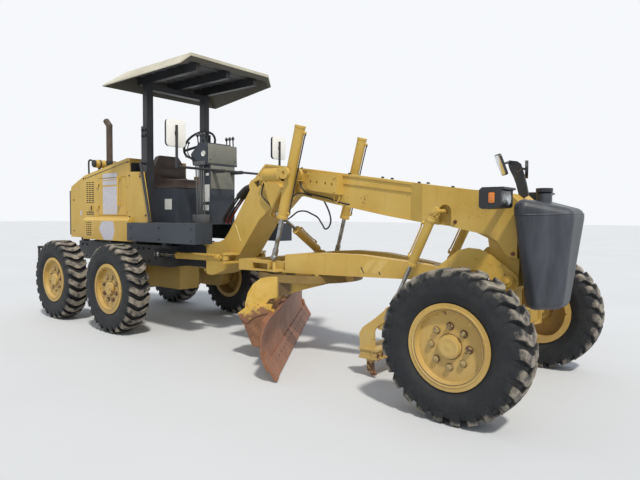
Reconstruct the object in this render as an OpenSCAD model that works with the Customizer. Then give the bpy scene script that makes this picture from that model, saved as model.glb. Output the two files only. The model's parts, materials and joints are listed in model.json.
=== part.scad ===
// Motor grader with an open operator station, a mid-mounted blade and a scarifier.
// The origin is on the floor in the middle plane; +X is forward, +Y left, +Z up.

/* [Wheels] */
// Distance from the origin forward to the front axle
front_axle_x = 3030; // [2900:10:3400]
// Distance from the origin back to the middle of each pair of rear wheels
tandem_x = 1958; // [1900:10:2200]
// Distance between the two rear wheels of a side
tandem_spacing = 1392; // [1300:4:1500]
// Distance from the middle plane to the middle of a tyre
track_half = 911; // [880:1:960]
// Outer radius of a tyre
tyre_r = 520; // [480:1:560]
// Width of a tyre at its widest
tyre_w = 278; // [240:2:300]
// Radius of a rim's flange
rim_r = 292; // [270:1:300]
// Width between the outer faces of a rim's flanges
rim_w = 236; // [200:2:250]
// Radius of the spindle that carries a wheel
spindle_r = 45; // [35:1:55]
// Running clearance of shafts, pins and rods on the radius
run_fit = 0.05; // [0.02:0.01:0.1]

/* [Frame] */
// Half the width of the front frame's box
neck_half = 165; // [140:1:190]
// Distance from the origin back to the articulation pin
hitch_x = 640; // [600:5:700]
// Radius of the articulation pin
hitch_pin_r = 40; // [30:1:50]
// Height of the front axle's beam above the floor
axle_z = 520; // [480:1:560]
// Distance from the middle plane to a kingpin
kingpin_y = 650; // [630:1:670]
// Radius of a kingpin
kingpin_r = 24; // [18:1:30]

/* [Engine hood] */
// Half the width of the hood
hood_half = 440; // [400:1:480]
// Thickness of the hood's panels
panel_t = 8; // [4:1:12]
// Height of the hood's foot above the floor
hood_z = 1056; // [1040:1:1100]

/* [Operator station] */
// Height of the platform's floor
floor_z = 1290; // [1270:1:1320]
// Half the width of the platform
platform_half = 750; // [700:5:760]
// Height of the canopy's lower edge at its side
canopy_z = 3026; // [2900:1:3100]

/* [Blade] */
// Length of the blade
blade_l = 3100; // [2600:10:3400]
// Height of the blade with its cutting edge
blade_h = 530; // [480:5:560]
// Angle by which the circle is turned at rest
circle_turn = 35.2; // [0:0.1:45]
// How far the blade is shifted sideways at rest
blade_shift = 312; // [0:2:320]
// Outer radius of the circle
circle_r = 540; // [500:5:560]

/* [Hidden] */
$fn = 48;

// Colours
yellow = "#D9AE3C";
slate = "#2F3540";
black = "#202124";
chrome = "#B9BDC2";
tank_grey = "#3C4046";
rust = "#8A5A42";
beige = "#C9C7B8";

// Wheel places: rear wheels stand at both ends of a tandem case
rear_x = [-tandem_x + tandem_spacing / 2, -tandem_x - tandem_spacing / 2];
wheel_z = tyre_r;
bead_r = rim_r - 38;
rim_wall = 12;
disc_y = 62;
disc_t = 16;
hub_r = 82;
hub_in = -30;
hub_out = 104;
spindle_end = 60;

// Front face of the nose
nose_x = front_axle_x + 160;

// Place where the neck's box meets the nose
neck_end = front_axle_x - 769;

// Points of the front frame's side outline, seen from the right, X and Z
neck_points = [
    [-535, 690], [-470, 674], [-403, 680], [-200, 748], [-60, 850], [66, 962], [367, 1336], [560, 1475],
    [700, 1595], [860, 1618], [1365, 1508], [1994, 1390], [neck_end, 1347],
    [front_axle_x - 382, 1302], [front_axle_x - 205, 1266], [front_axle_x - 90, 1215],
    [front_axle_x - 72, 1110], [front_axle_x - 72, 800], [front_axle_x + 72, 800],
    [front_axle_x + 150, 850], [nose_x, 1020], [nose_x, 1500], [nose_x - 70, 1560],
    [front_axle_x - 123, 1589], [front_axle_x - 253, 1602], [neck_end, 1675], [1518, 1785], [966, 1869],
    [470, 1937], [440, 1920], [296, 1790], [240, 1768], [212, 1738], [205, 1711],
    [222, 1665], [-24, 1332], [-132, 1188], [-215, 1105], [-303, 1072],
    [-535, 1062]];

// Flange strips of the neck's box and the wider nose, seen from the right
strip_out = 10;
top_strip = [
    [neck_end, 1675], [1518, 1785], [966, 1869], [470, 1937], [462, 1918], [966, 1850], [1518, 1766],
    [neck_end, 1656]];
ledge_strip = [[1525, 1702], [neck_end, 1601], [neck_end, 1589], [1525, 1690]];
low_strip = [
    [700, 1595], [860, 1618], [1365, 1508], [1994, 1390], [neck_end, 1347], [neck_end, 1363], [1994, 1406],
    [1365, 1524], [860, 1634], [700, 1611]];
nose_points = [
    [neck_end - 21, 1678], [neck_end, 1347], [front_axle_x - 382, 1302], [front_axle_x - 205, 1266],
    [front_axle_x - 67, 1240], [front_axle_x, 1200], [front_axle_x + 50, 1130], [front_axle_x + 84, 1084],
    [nose_x, 1070], [nose_x, 1500], [nose_x - 70, 1560], [front_axle_x - 123, 1589],
    [front_axle_x - 253, 1602]];
nose_step = [neck_end - 21, neck_end + 125];

// Saddle boxes beside the neck's crown, with slotted holes in their outer sides
saddle_out = 265;
saddle_points = [[1137, 1822], [1512, 1770], [1512, 1585], [1137, 1640]];
saddle_holes = [[1185, 1722], [1265, 1715], [1370, 1700], [1450, 1687]];

// Hose window in the side of the neck's leg
window_points = [[284, 1752], [424, 1785], [438, 1770], [339, 1682], [309, 1697]];
window_depth = 60;

// Articulation joint
lug_r = 95;
lug_t = 40;
lug_low_z = 700;
lug_high_z = 1012;
tongue_half = 85;
rail_top_z = 1000;
rail_low_z = 740;

// Pins of the steering cylinders that bend the frame, on the right side
hitch_cyl_z = 905;
hitch_cyl_back = [-1130, -440];
hitch_cyl_front = [-40, -290];

// Lift cylinders: top, swivel and ball, on the right side
lift_y = 500;
lift_top = [1262, 2222];
lift_pivot = [1146, 1781];
lift_ball = [927, 975];
lift_gland_z = 1356;
lift_bore = 42;
lift_wall = 8;
rod_r = 22;
piston_h = 60;

// Drawbar and circle
ball_x = front_axle_x - 330;
ball_z = 880;
ball_r = 70;
circle_x = 975;
circle_top_z = 812;
circle_h = 72;
circle_in = circle_r - 85;
flange_r = circle_r - 50;
flange_h = 36;
seat_gap = 0.3;
shoe_angles = [-135, -42, 42, 135];
gear_teeth = 72;
gear_tip = circle_in + 2;
gear_root = circle_in + 20;
tooth_turns = [[0, gear_root], [0.42, gear_root], [0.58, gear_tip], [0.84, gear_tip]];

// Pocket in each side of the drawbar for the ball of a lift rod, with the stud's shelf below
pocket_x = [805, 1010];
pocket_y = 385;
pocket_z = 850;
ball_end_r = 36;
ball_collar = 88;
stud_r = 18;
stud_top = 930;
beam_low_y = 450;

// Drive of the circle, between the drawbar's beams
drive_x = circle_x + 395;
drive_r = 80;

// Centre shift cylinder, seen from the front: frame pin and drawbar pin, Y and Z
shift_x = 830;
shift_high = [-330, 1400];
shift_low = [330, 985];
shift_swivel = unit([2.031, -0.355, -0.565]);

// Barrels: height of the gland and of the closed end
gland_h = 40;
cap_h = 25;

// Lugs for the cylinders' eyes
lug_gap = 34;
lug_thin = 24;
pin_r = 18;
eye_r = 36;
eye_half = 24;

// Rear frame
rail_in = 250;
rail_out = 340;
tongue_x = -1000;
tongue_low_z = lug_low_z + lug_t + 6;
tongue_high_z = lug_high_z - 6;
frame_back_x = -3300;
hood_foot_x = [-3200, -2440, -1800];
floor_t = 12;
tow_bore_r = 21;
guard_z = 905;
guard_x = -3585;
guard_reach = 303;
guard_r = 18;
guard_low_z = 460;

// Hood openings, side tanks and exhaust
door_back_x = -2540;
door_front_x = -1830;
door_low_z = 1380;
door_high_z = 1880;
door_gap = 5;
handle_x = -1965;
hinge_y = hood_half + 12;
hinge_z = [1460, 1760];
hinge_h = 40;
hinge_r = 11;
hinge_pin_r = 5;
grille_half = 330;
grille_low_z = 1130;
grille_high_z = 1690;
side_box_y = hood_half + 160;
side_box_top = 1350;
side_box_front = -1530;
side_box_back = -2670;
louvre_pitch = 28;
louvre_h = 13;
louvre_x = [-2884, -2660];
louvre_low_z = 1552;
louvre_rows = 11;
vent_low_z = 1384;
box_vent_x = [-2585, -2439];
box_vent_low_z = 1104;
box_vent_rows = 7;
exhaust_x = -2840;
exhaust_y = -100;
exhaust_r = 44;
exhaust_bend_z = 2690;

// Seat, column, posts and mirrors
seat_half = 270;
seat_box_top = 1720;
column_foot = [-597, 0, 2002];
column_head = [-835, 0, 2231];
column_dir = (column_head - column_foot) / norm(column_head - column_foot);
post_x = -1321;
post_y = 436;
post_top_z = 3000;
roof_under_z = 3120;
mirror_x = -242;
console_front = -430;
wheel_grip_r = 211;
mirror_w = 237;
mirror_h = 283;
mirror_mid_z = 2255;

// Rear axle and tandem cases
axle_tube_z = 560;
case_in = 600;
case_out = 735;

// Head lamps: inner and outer side; radius of the nose tank's edges
lamp_y = [355, 590];
tank_round = 70;

// Front axle
bolster_x = front_axle_x;
axle_pivot_z = 640;
beam_half_x = 48;
nose_half = 220;
knuckle_y = 715;
tie_x = front_axle_x - 185;
tie_z = axle_z - 110.3;
steer_cyl_x = front_axle_x - 120;
steer_cyl_z = 560;

// Cylinder bank and forks
bank_r = 64;
bank_back_x = 815;
bank_front_x = 1043;
fork_shaft_r = 34;
trunnion_r = 20;
fork_in = 74;
fork_out = 110;
fork_web = [1050, 1072];
lift_rod_l = 825;

// Hitch cylinders, along the line from the front pin
hitch_start = 70;
hitch_barrel_l = 690;
hitch_bore = 32;
hitch_wall = 8;
hitch_rod_l = 575;

// Blade arms and blade, in the circle's own frame
arm_y = 450;
arm_t = 30;
arm_points = [
    [289, 756], [238, 802], [-370, 792], [-450, 775], [-520, 722], [-570, 640], [-596, 540],
    [-600, 440], [-400, 440], [-400, 520], [-360, 575], [-223, 615], [17, 686]];
bracket_points = [
    [-665, 440], [-600, 490], [-400, 530], [-330, 520], [-352, 400], [-352, 210], [-375, 190],
    [-375, 115], [-440, 110], [-520, 130], [-600, 330]];
blade_low_z = 15;
blade_r = 410;
blade_t = 14;
blade_cx = 115;
blade_cz = 308;
edge_x = -185;
end_bit_w = 120;
rail_z = [153, 434];
rail_half = 22;
rail_back = -345;
rail_front = -283;
guide_fit = 0.5;
guide_half = 60;

// Serrated quadrant on the outer side of each slide bracket, about the lower rail
quadrant_t = 14;
quadrant_r = [296, 362];
quadrant_from = 94;
quadrant_step = 4;
quadrant_teeth = 11;
quadrant_points = concat(
    [for (i = [0:quadrant_teeth]) for (k = [0, 1])
        (quadrant_r[1] + 9 * k) * [cos(quadrant_from + (i + k * 0.5) * quadrant_step),
            sin(quadrant_from + (i + k * 0.5) * quadrant_step)] + [rail_back, rail_z[0]]],
    [for (i = [quadrant_teeth:-1:0])
        quadrant_r[0] * [cos(quadrant_from + i * quadrant_step), sin(quadrant_from + i * quadrant_step)]
            + [rail_back, rail_z[0]]]);

// Centre shift cylinder, along the line from the drawbar's pin
shift_start = 60;
shift_lug_half = 78;
shift_barrel_l = 420;
shift_bore = 34;
shift_wall = 8;
shift_rod_l = 484;

// Scarifier
scar_pin = [front_axle_x + 94, 892];
scar_bore = 30;
scar_wall = 8;
scar_start = 45;
scar_barrel_l = 450;
scar_rod_l = 615;
scar_back = scar_pin.x - 1179;
shank_y = [-450, -150, 150, 450];
shank_points = [[58, 170], [121, 170], [125, 76], [151, 24], [115, 18], [67, 62]];
scar_points = [
    [44, 953], [-28, 1013], [-131, 1088], [-218, 1132], [-306, 1139], [-377, 1120], [-581, 950],
    [-1079, 509], [-1180, 432], [-1213, 381], [-1205, 250], [-1070, 250], [-1075, 400], [-1055, 440],
    [-330, 965], [-241, 968], [-145, 913], [-36, 826]];
scar_y = 203;
scar_plate_t = 24;
scar_block = [scar_back, scar_back + 189, 163, 255];
scar_block_half = 500;
scar_splay = 13.35;
scar_eye = 75;
scar_boss = 52;
scar_boss_half = 22;
scar_cyl_y = 370;
scar_lug_points = [[147, 440], [215, 440], [277, 572], [267, 608], [237, 618], [210, 600]];
scar_cyl_high = [scar_back + 636, 1425];
scar_cyl_low = [scar_back + 245, 585];
scar_tube = [scar_back + 180, 452];

function xz(p, y) = [p.x, y, p.y];
function unit(v) = v / norm(v);

// Children laid along the line from p to q, from +Z
module along(p, q) {
    d = q - p;
    translate(p)
        rotate([0, acos(d.z / norm(d)), atan2(d.y, d.x)])
            children();
}

// Right or left copy: side is -1 on the right and 1 on the left
module on_side(side) {
    if (side > 0) mirror([0, 1, 0]) children();
    else children();
}

// Wheel frame: +Z points outboard from the middle of the tyre
module at_wheel(x, side) {
    translate([x, side * track_half, wheel_z])
        rotate([-90 * side, 0, 0])
            children();
}

// Extruded side outline, from y0 to y1
module side_plate(y0, y1, points) {
    translate([0, y1, 0])
        rotate([90, 0, 0])
            linear_extrude(y1 - y0)
                polygon(points);
}

// Tyre: bead between the flanges, bulged side and flat tread
module tyre() {
    half = tyre_w / 2;
    bead_half = rim_w / 2 - rim_wall - 1;
    color(black)
        rotate_extrude()
            polygon([
                [bead_r + 0.3, -bead_half], [rim_r + 6, -bead_half], [rim_r + 40, -half + 12],
                [rim_r + 95, -half], [rim_r + 150, -half + 3], [tyre_r - 30, -half + 14],
                [tyre_r - 6, -half + 30], [tyre_r, -half + 60], [tyre_r, half - 60],
                [tyre_r - 6, half - 30], [tyre_r - 30, half - 14], [rim_r + 150, half - 3],
                [rim_r + 95, half], [rim_r + 40, half - 12], [rim_r + 6, bead_half],
                [bead_r + 0.3, bead_half]]);
}

// Rim: barrel with two flanges, dished disc and a hub that turns on the spindle
module rim() {
    color(yellow)
        rotate_extrude()
            polygon([
                [spindle_r + run_fit, hub_in], [hub_r, hub_in], [hub_r + 14, disc_y - 20],
                [hub_r + 60, disc_y], [bead_r - rim_wall, disc_y - 6], [bead_r - rim_wall, -rim_w / 2],
                [rim_r, -rim_w / 2], [rim_r, -rim_w / 2 + rim_wall], [bead_r, -rim_w / 2 + rim_wall],
                [bead_r, rim_w / 2 - rim_wall], [rim_r, rim_w / 2 - rim_wall], [rim_r, rim_w / 2],
                [bead_r - rim_wall, rim_w / 2], [bead_r - rim_wall - 6, rim_w / 2 - 30],
                [bead_r - rim_wall - 8, disc_y + disc_t], [hub_r + 60, disc_y + disc_t],
                [hub_r, disc_y + disc_t], [hub_r - 4, hub_out], [0, hub_out],
                [0, spindle_end + 3], [spindle_r + run_fit, spindle_end + 3]]);
}

// Spindle stub that runs from the carrier at y_in to the hub's bore
module spindle(y_in) {
    translate([0, 0, y_in])
        cylinder(h = spindle_end - y_in, r = spindle_r);
}

// Box by its lowest and highest corner
module block(lo, hi) {
    translate(lo)
        cube(hi - lo);
}

// Upright round piece from z0 to z1 at p, and a crosswise one from y0 to y1
module pin_z(p, z0, z1, r) {
    translate([p.x, p.y, z0])
        cylinder(h = z1 - z0, r = r);
}

module pin_y(p, y0, y1, r) {
    translate([p.x, y0, p.y])
        rotate([-90, 0, 0])
            cylinder(h = y1 - y0, r = r);
}

// Points of a rectangle with round corners, and the plate they give, facing along X
function round_points(w, h, r) = [
    for (q = [0:3])
        for (i = [0:5])
            let (a = 90 * q + 18 * i, sx = q == 0 || q == 3 ? 1 : -1, sy = q < 2 ? 1 : -1)
                [sx * (w / 2 - r) + r * cos(a), sy * (h / 2 - r) + r * sin(a)]];

module round_plate_x(x0, x1, mid, w, h, r) {
    translate([x0, mid.x, mid.y])
        rotate([90, 0, 90])
            linear_extrude(x1 - x0)
                polygon(round_points(w, h, r));
}

// Rear frame: two rails, cross members and the tongue with the articulation pin
module rear_frame() {
    color(slate) {
        for (side = [-1, 1])
            on_side(side) {
                block([frame_back_x, -rail_out, rail_low_z], [tongue_x, -rail_in, rail_top_z]);
                for (z = [hitch_cyl_z - lug_gap - lug_thin, hitch_cyl_z + lug_gap])
                    hull() {
                        pin_z(hitch_cyl_back, z, z + lug_thin, 45);
                        block([hitch_cyl_back.x - 90, -rail_out - 1, z],
                            [hitch_cyl_back.x + 60, -rail_out, z + lug_thin]);
                    }
                for (x = hood_foot_x)
                    block([x - 40, -rail_out, rail_top_z], [x + 40, -rail_in, hood_z]);
                block([-1190, -rail_out, rail_top_z], [-1100, -rail_in, floor_z - floor_t]);
            }
        for (x = [frame_back_x, -2440, tongue_x - 180])
            block([x, -rail_in, rail_low_z], [x + 120, rail_in, rail_top_z]);
        block([tongue_x - 61, -tongue_half, tongue_low_z], [-hitch_x, tongue_half, tongue_high_z]);
        pin_z([-hitch_x, 0], tongue_low_z, tongue_high_z, tongue_half);
        pin_z([-hitch_x, 0], lug_low_z - 12, lug_high_z + lug_t + 12, hitch_pin_r);
        // Towing jaw at the back: two plates with a pin hole
        for (z = [780, 860])
            difference() {
                block([frame_back_x - 110, -60, z], [frame_back_x, 60, z + 25]);
                pin_z([frame_back_x - 60, 0], z - 1, z + 26, tow_bore_r);
            }
    }
}

// Outline of the hood from the side, drawn in by the wall
module hood_outline(t) {
    polygon([
        [-3345 + t, hood_z - (t > 0 ? 1 : 0)], [-1738 - t, hood_z - (t > 0 ? 1 : 0)], [-1738 - t, 2118 - t],
        [-1800, 2122 - t], [-2921, 1945 - t], [-3320 + t, 1800 - t], [-3345 + t, 1740]]);
}

// Hood: folded sheet over the engine, side tanks below the doors
module hood_shell() {
    color(yellow) {
        difference() {
            translate([0, hood_half, 0])
                rotate([90, 0, 0])
                    linear_extrude(2 * hood_half)
                        hood_outline(0);
            translate([0, hood_half - panel_t, 0])
                rotate([90, 0, 0])
                    linear_extrude(2 * (hood_half - panel_t))
                        hood_outline(panel_t);
            block([door_back_x - door_gap, -hood_half - 1, door_low_z - door_gap],
                [door_front_x + door_gap, hood_half + 1, door_high_z + door_gap]);
            block([-3346, -grille_half, grille_low_z], [-3300, grille_half, grille_high_z]);
            translate([exhaust_x, exhaust_y, 1900])
                cylinder(h = 300, r = exhaust_r + 12);
            // Louvre slots behind each door
            for (z = concat([vent_low_z, vent_low_z + louvre_pitch],
                [for (i = [0:louvre_rows - 1]) louvre_low_z + i * louvre_pitch]))
                block([louvre_x[0], -hood_half - 1, z], [louvre_x[1], hood_half + 1, z + louvre_h]);
        }
        for (side = [-1, 1])
            on_side(side) {
                // Side panel ahead of the hood, beside the seat
                side_plate(-hood_half - 90, -hood_half - 65, [
                    [-1645, side_box_top - 10], [-1645, 1930], [-1297, 1915], [-1154, floor_z + seat_gap],
                    [side_box_front, floor_z + seat_gap], [side_box_front, side_box_top - 10]]);
                // Side box below the door
                difference() {
                    block([side_box_back, -side_box_y, hood_z - 6], [side_box_front, -hood_half, side_box_top]);
                    translate([0, -side_box_y, side_box_top])
                        rotate([45, 0, 0])
                            cube([9000, 60, 60], center = true);
                    for (i = [0:box_vent_rows - 1])
                        block([box_vent_x[0], -side_box_y - 1, box_vent_low_z + i * louvre_pitch],
                            [box_vent_x[1], -side_box_y + 30, box_vent_low_z + i * louvre_pitch + louvre_h]);
                }
                // Lower half of each door hinge with its pin
                for (z = hinge_z) {
                    pin_z([door_back_x, -hinge_y], z, z + hinge_h, hinge_r);
                    pin_z([door_back_x, -hinge_y], z, z + 2 * hinge_h - 5, hinge_pin_r);
                    block([door_back_x - 40, -hinge_y + 2, z], [door_back_x - 6, -hood_half + 1, z + hinge_h]);
                    block([door_back_x - 12, -hinge_y - 4, z], [door_back_x, -hinge_y + 6, z + hinge_h]);
                }
            }
    }
}

// Engine, kept as one plain block inside the hood
module engine_block() {
    color(tank_grey)
        block([-3000, -250, rail_top_z], [-1850, 250, 1700]);
}

// Rear grille: frame with upright bars
module rear_grille() {
    color(black) {
        difference() {
            block([-3342, -grille_half + seat_gap, grille_low_z + seat_gap],
                [-3312, grille_half - seat_gap, grille_high_z - seat_gap]);
            block([-3343, -grille_half + 31, grille_low_z + 31], [-3311, grille_half - 31, grille_high_z - 31]);
        }
        for (i = [1:9])
            block([-3336, -grille_half + 31 + i * (2 * grille_half - 62) / 10 - 6, grille_low_z + 30],
                [-3322, -grille_half + 31 + i * (2 * grille_half - 62) / 10 + 6, grille_high_z - 30]);
    }
}

// Exhaust stack with a bent tip
module exhaust_stack() {
    color(black) {
        translate([exhaust_x, exhaust_y, 1700 + seat_gap])
            cylinder(h = exhaust_bend_z - 1700 - seat_gap, r = exhaust_r);
        translate([exhaust_x, exhaust_y, exhaust_bend_z])
            sphere(r = exhaust_r + 2);
        translate([exhaust_x, exhaust_y, exhaust_bend_z])
            rotate([0, -48, 0])
                cylinder(h = 115, r = exhaust_r);
    }
}

// Door over the engine, with its upright handle and the upper hinge halves
module door(side) {
    color(yellow)
        on_side(side) {
            block([door_back_x, -hood_half, door_low_z], [door_front_x, -hood_half + 20, door_high_z]);
            translate([handle_x, -hood_half - 40, 1512])
                cylinder(h = 374, r = 12);
            for (z = [1512, 1862])
                block([handle_x - 12, -hood_half - 40, z], [handle_x + 12, -hood_half, z + 24]);
            // Upper half of each hinge
            for (z = hinge_z)
                difference() {
                    union() {
                        pin_z([door_back_x, -hinge_y], z + hinge_h + seat_gap, z + 2 * hinge_h, hinge_r);
                        block([door_back_x, -hinge_y - 4, z + hinge_h + seat_gap],
                            [door_back_x + 40, -hood_half + 1, z + 2 * hinge_h]);
                    }
                    pin_z([door_back_x, -hinge_y], z + hinge_h, z + 2 * hinge_h - 4, hinge_pin_r + run_fit);
                }
        }
}

// Platform: floor plate, side boxes, seat box and side panels behind the posts
module platform() {
    color(slate) {
        block([-1737.7, -hood_half + seat_gap, floor_z - floor_t], [-1300, hood_half - seat_gap, floor_z]);
        block([side_box_front + seat_gap, -platform_half + 200, floor_z - floor_t],
            [-1300, platform_half - 200, floor_z]);
        block([-1300, -platform_half, floor_z - floor_t], [-330, platform_half, floor_z]);
        block([-1737, -400, floor_z], [-1660, 400, 1900]);
        for (side = [-1, 1])
            on_side(side) {
                block([-1300, -platform_half, 1072], [13, -platform_half + 230, floor_z - floor_t]);
                block([-330, -platform_half, floor_z - floor_t], [13, -platform_half + 230, floor_z]);
            }
        block([-1480, -seat_half, floor_z], [-1010, seat_half, seat_box_top]);
    }
}

// Seat: cushion and back on the seat box
module seat() {
    color("#3A2A22") {
        block([-1540, -250, seat_box_top + seat_gap], [-1000, 250, seat_box_top + 130]);
        hull() {
            pin_y([-1530, seat_box_top + 170], -240, 240, 50);
            pin_y([-1600, 2130], -200, 200, 40);
        }
    }
}

// Console with the steering column
module console() {
    color(slate) {
        block([-640, -190, floor_z], [console_front, 190, 1980]);
        side_plate(-230, 230, [[-700, 1980], [console_front, 1980], [-440, 2180], [-560, 2260], [-740, 2120]]);
        along(column_foot, column_head) cylinder(h = norm(column_head - column_foot), r = 24);
        for (side = [-1, 1])
            on_side(side)
                for (x = [-600, -540, -480])
                    along([x, -215, 2150], [x - 20, -225, 2330]) cylinder(h = 180, r = 8);
    }
}

// Steering wheel: rim, spokes and hub on the column
module steering_wheel() {
    color(black)
        along(column_head, column_head + column_dir) {
            translate([0, 0, seat_gap])
                cylinder(h = 48, r = 34);
            translate([0, 0, 40])
                rotate_extrude()
                    translate([wheel_grip_r, 0])
                        circle(r = 14);
            for (a = [60, 180, 300])
                rotate([0, 0, a])
                    translate([20, -14, 22])
                        cube([wheel_grip_r - 25, 28, 16]);
        }
}

// Canopy posts on the platform with wider sleeves below
module canopy_posts() {
    color(black)
        for (side = [-1, 1])
            on_side(side) {
                block([post_x - 45, -post_y - 45, floor_z], [post_x + 45, -post_y + 45, post_top_z]);
                block([post_x - 60, -post_y - 60, floor_z], [post_x + 60, -post_y - 46, 2480]);
            }
    color(black)
        for (y = [-post_y, 0, post_y])
            block([-1500, y - 30, post_top_z], [-330, y + 30, roof_under_z]);
    color(black)
        block([post_x - 45, -post_y + 45, post_top_z - 70], [post_x + 45, post_y - 45, post_top_z]);
}

// Canopy roof: moulded shell, wider and lower at the back
module canopy_roof() {
    color(beige)
        difference() {
            hull() {
                block([-1530, -592, 3120], [-252, 592, 3153]);
                block([-1329, -694, canopy_z], [-306, 694, canopy_z + 10]);
                block([-1617, -870, 2935], [-1600, 870, 2950]);
            }
            hull() {
                block([-1530, -572, 3060], [-280, 572, roof_under_z]);
                block([-1329, -680, canopy_z - 20], [-320, 680, canopy_z]);
                block([-1600, -850, 2900], [-1585, 850, 2935]);
            }
        }
}

// Handrails beside the seat, and the tube guards behind the rear wheels
module handrails() {
    color(black)
        for (side = [-1, 1])
            on_side(side) {
                pin_z([-1101, -560], floor_z + seat_gap, floor_z + 10, 40);
                along([-1102, -560, floor_z + 5], [-1300, -560, 2020]) cylinder(h = norm([198, 725]), r = 16);
                translate([-1300, -560, 2020]) sphere(r = 18);
                along([-1300, -560, 2020], [-1300, -496, 2020]) cylinder(h = 64 - seat_gap, r = 16);
                along([frame_back_x - seat_gap, -300, guard_z], [guard_x, -300, guard_z])
                    cylinder(h = guard_reach - seat_gap, r = guard_r);
                along([guard_x, -282, guard_z], [guard_x, -820, guard_z]) cylinder(h = 538, r = guard_r);
                for (y = [-802, -600])
                    along([guard_x, y, guard_z + (y < -700 ? guard_r : 0)], [guard_x, y, guard_low_z])
                        cylinder(h = guard_z - guard_low_z + (y < -700 ? guard_r : 0), r = guard_r);
                along([guard_x, -582, guard_low_z + guard_r], [guard_x, -820, guard_low_z + guard_r])
                    cylinder(h = 238, r = guard_r);
            }
}

// Cab mirrors on poles that meet in one cross bar before the console
module cab_mirrors() {
    color(black) {
        along([mirror_x, -776, 1900], [mirror_x, 776, 1900]) cylinder(h = 1552, r = 14);
        for (side = [-1, 1])
            on_side(side) {
                pin_z([mirror_x, -790], 1884, 2340, 15);
                block([console_front + seat_gap, -160, 1880], [mirror_x, -120, 1920]);
                round_plate_x(mirror_x - 44, mirror_x - 16, [-790, mirror_mid_z], mirror_w, mirror_h, 40);
                block([mirror_x - 20, -810, mirror_mid_z - 20], [mirror_x, -770, mirror_mid_z + 20]);
            }
    }
}

// Rear axle with its final drive and the gearbox ahead of it
module rear_axle() {
    color(yellow) {
        along([-tandem_x, -600, axle_tube_z], [-tandem_x, 600, axle_tube_z]) cylinder(h = 1200, r = 105);
        along([-tandem_x, -180, axle_tube_z], [-tandem_x, 180, axle_tube_z]) cylinder(h = 360, r = 180);
        for (side = [-1, 1])
            on_side(side)
                block([-tandem_x - 90, -rail_out, axle_tube_z], [-tandem_x + 90, -rail_in, rail_low_z]);
        block([-tandem_x, -150, 440], [-1080, 150, rail_low_z]);
    }
}

// Tandem case: long box with round ends that carries two wheels
module tandem_case(side) {
    color(yellow)
        on_side(side) {
            hull()
                for (x = rear_x)
                    pin_y([x, wheel_z], -case_out, -case_in - seat_gap, 115);
            for (x = rear_x)
                at_wheel(x, -1) spindle(case_out - track_half);
        }
}

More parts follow.
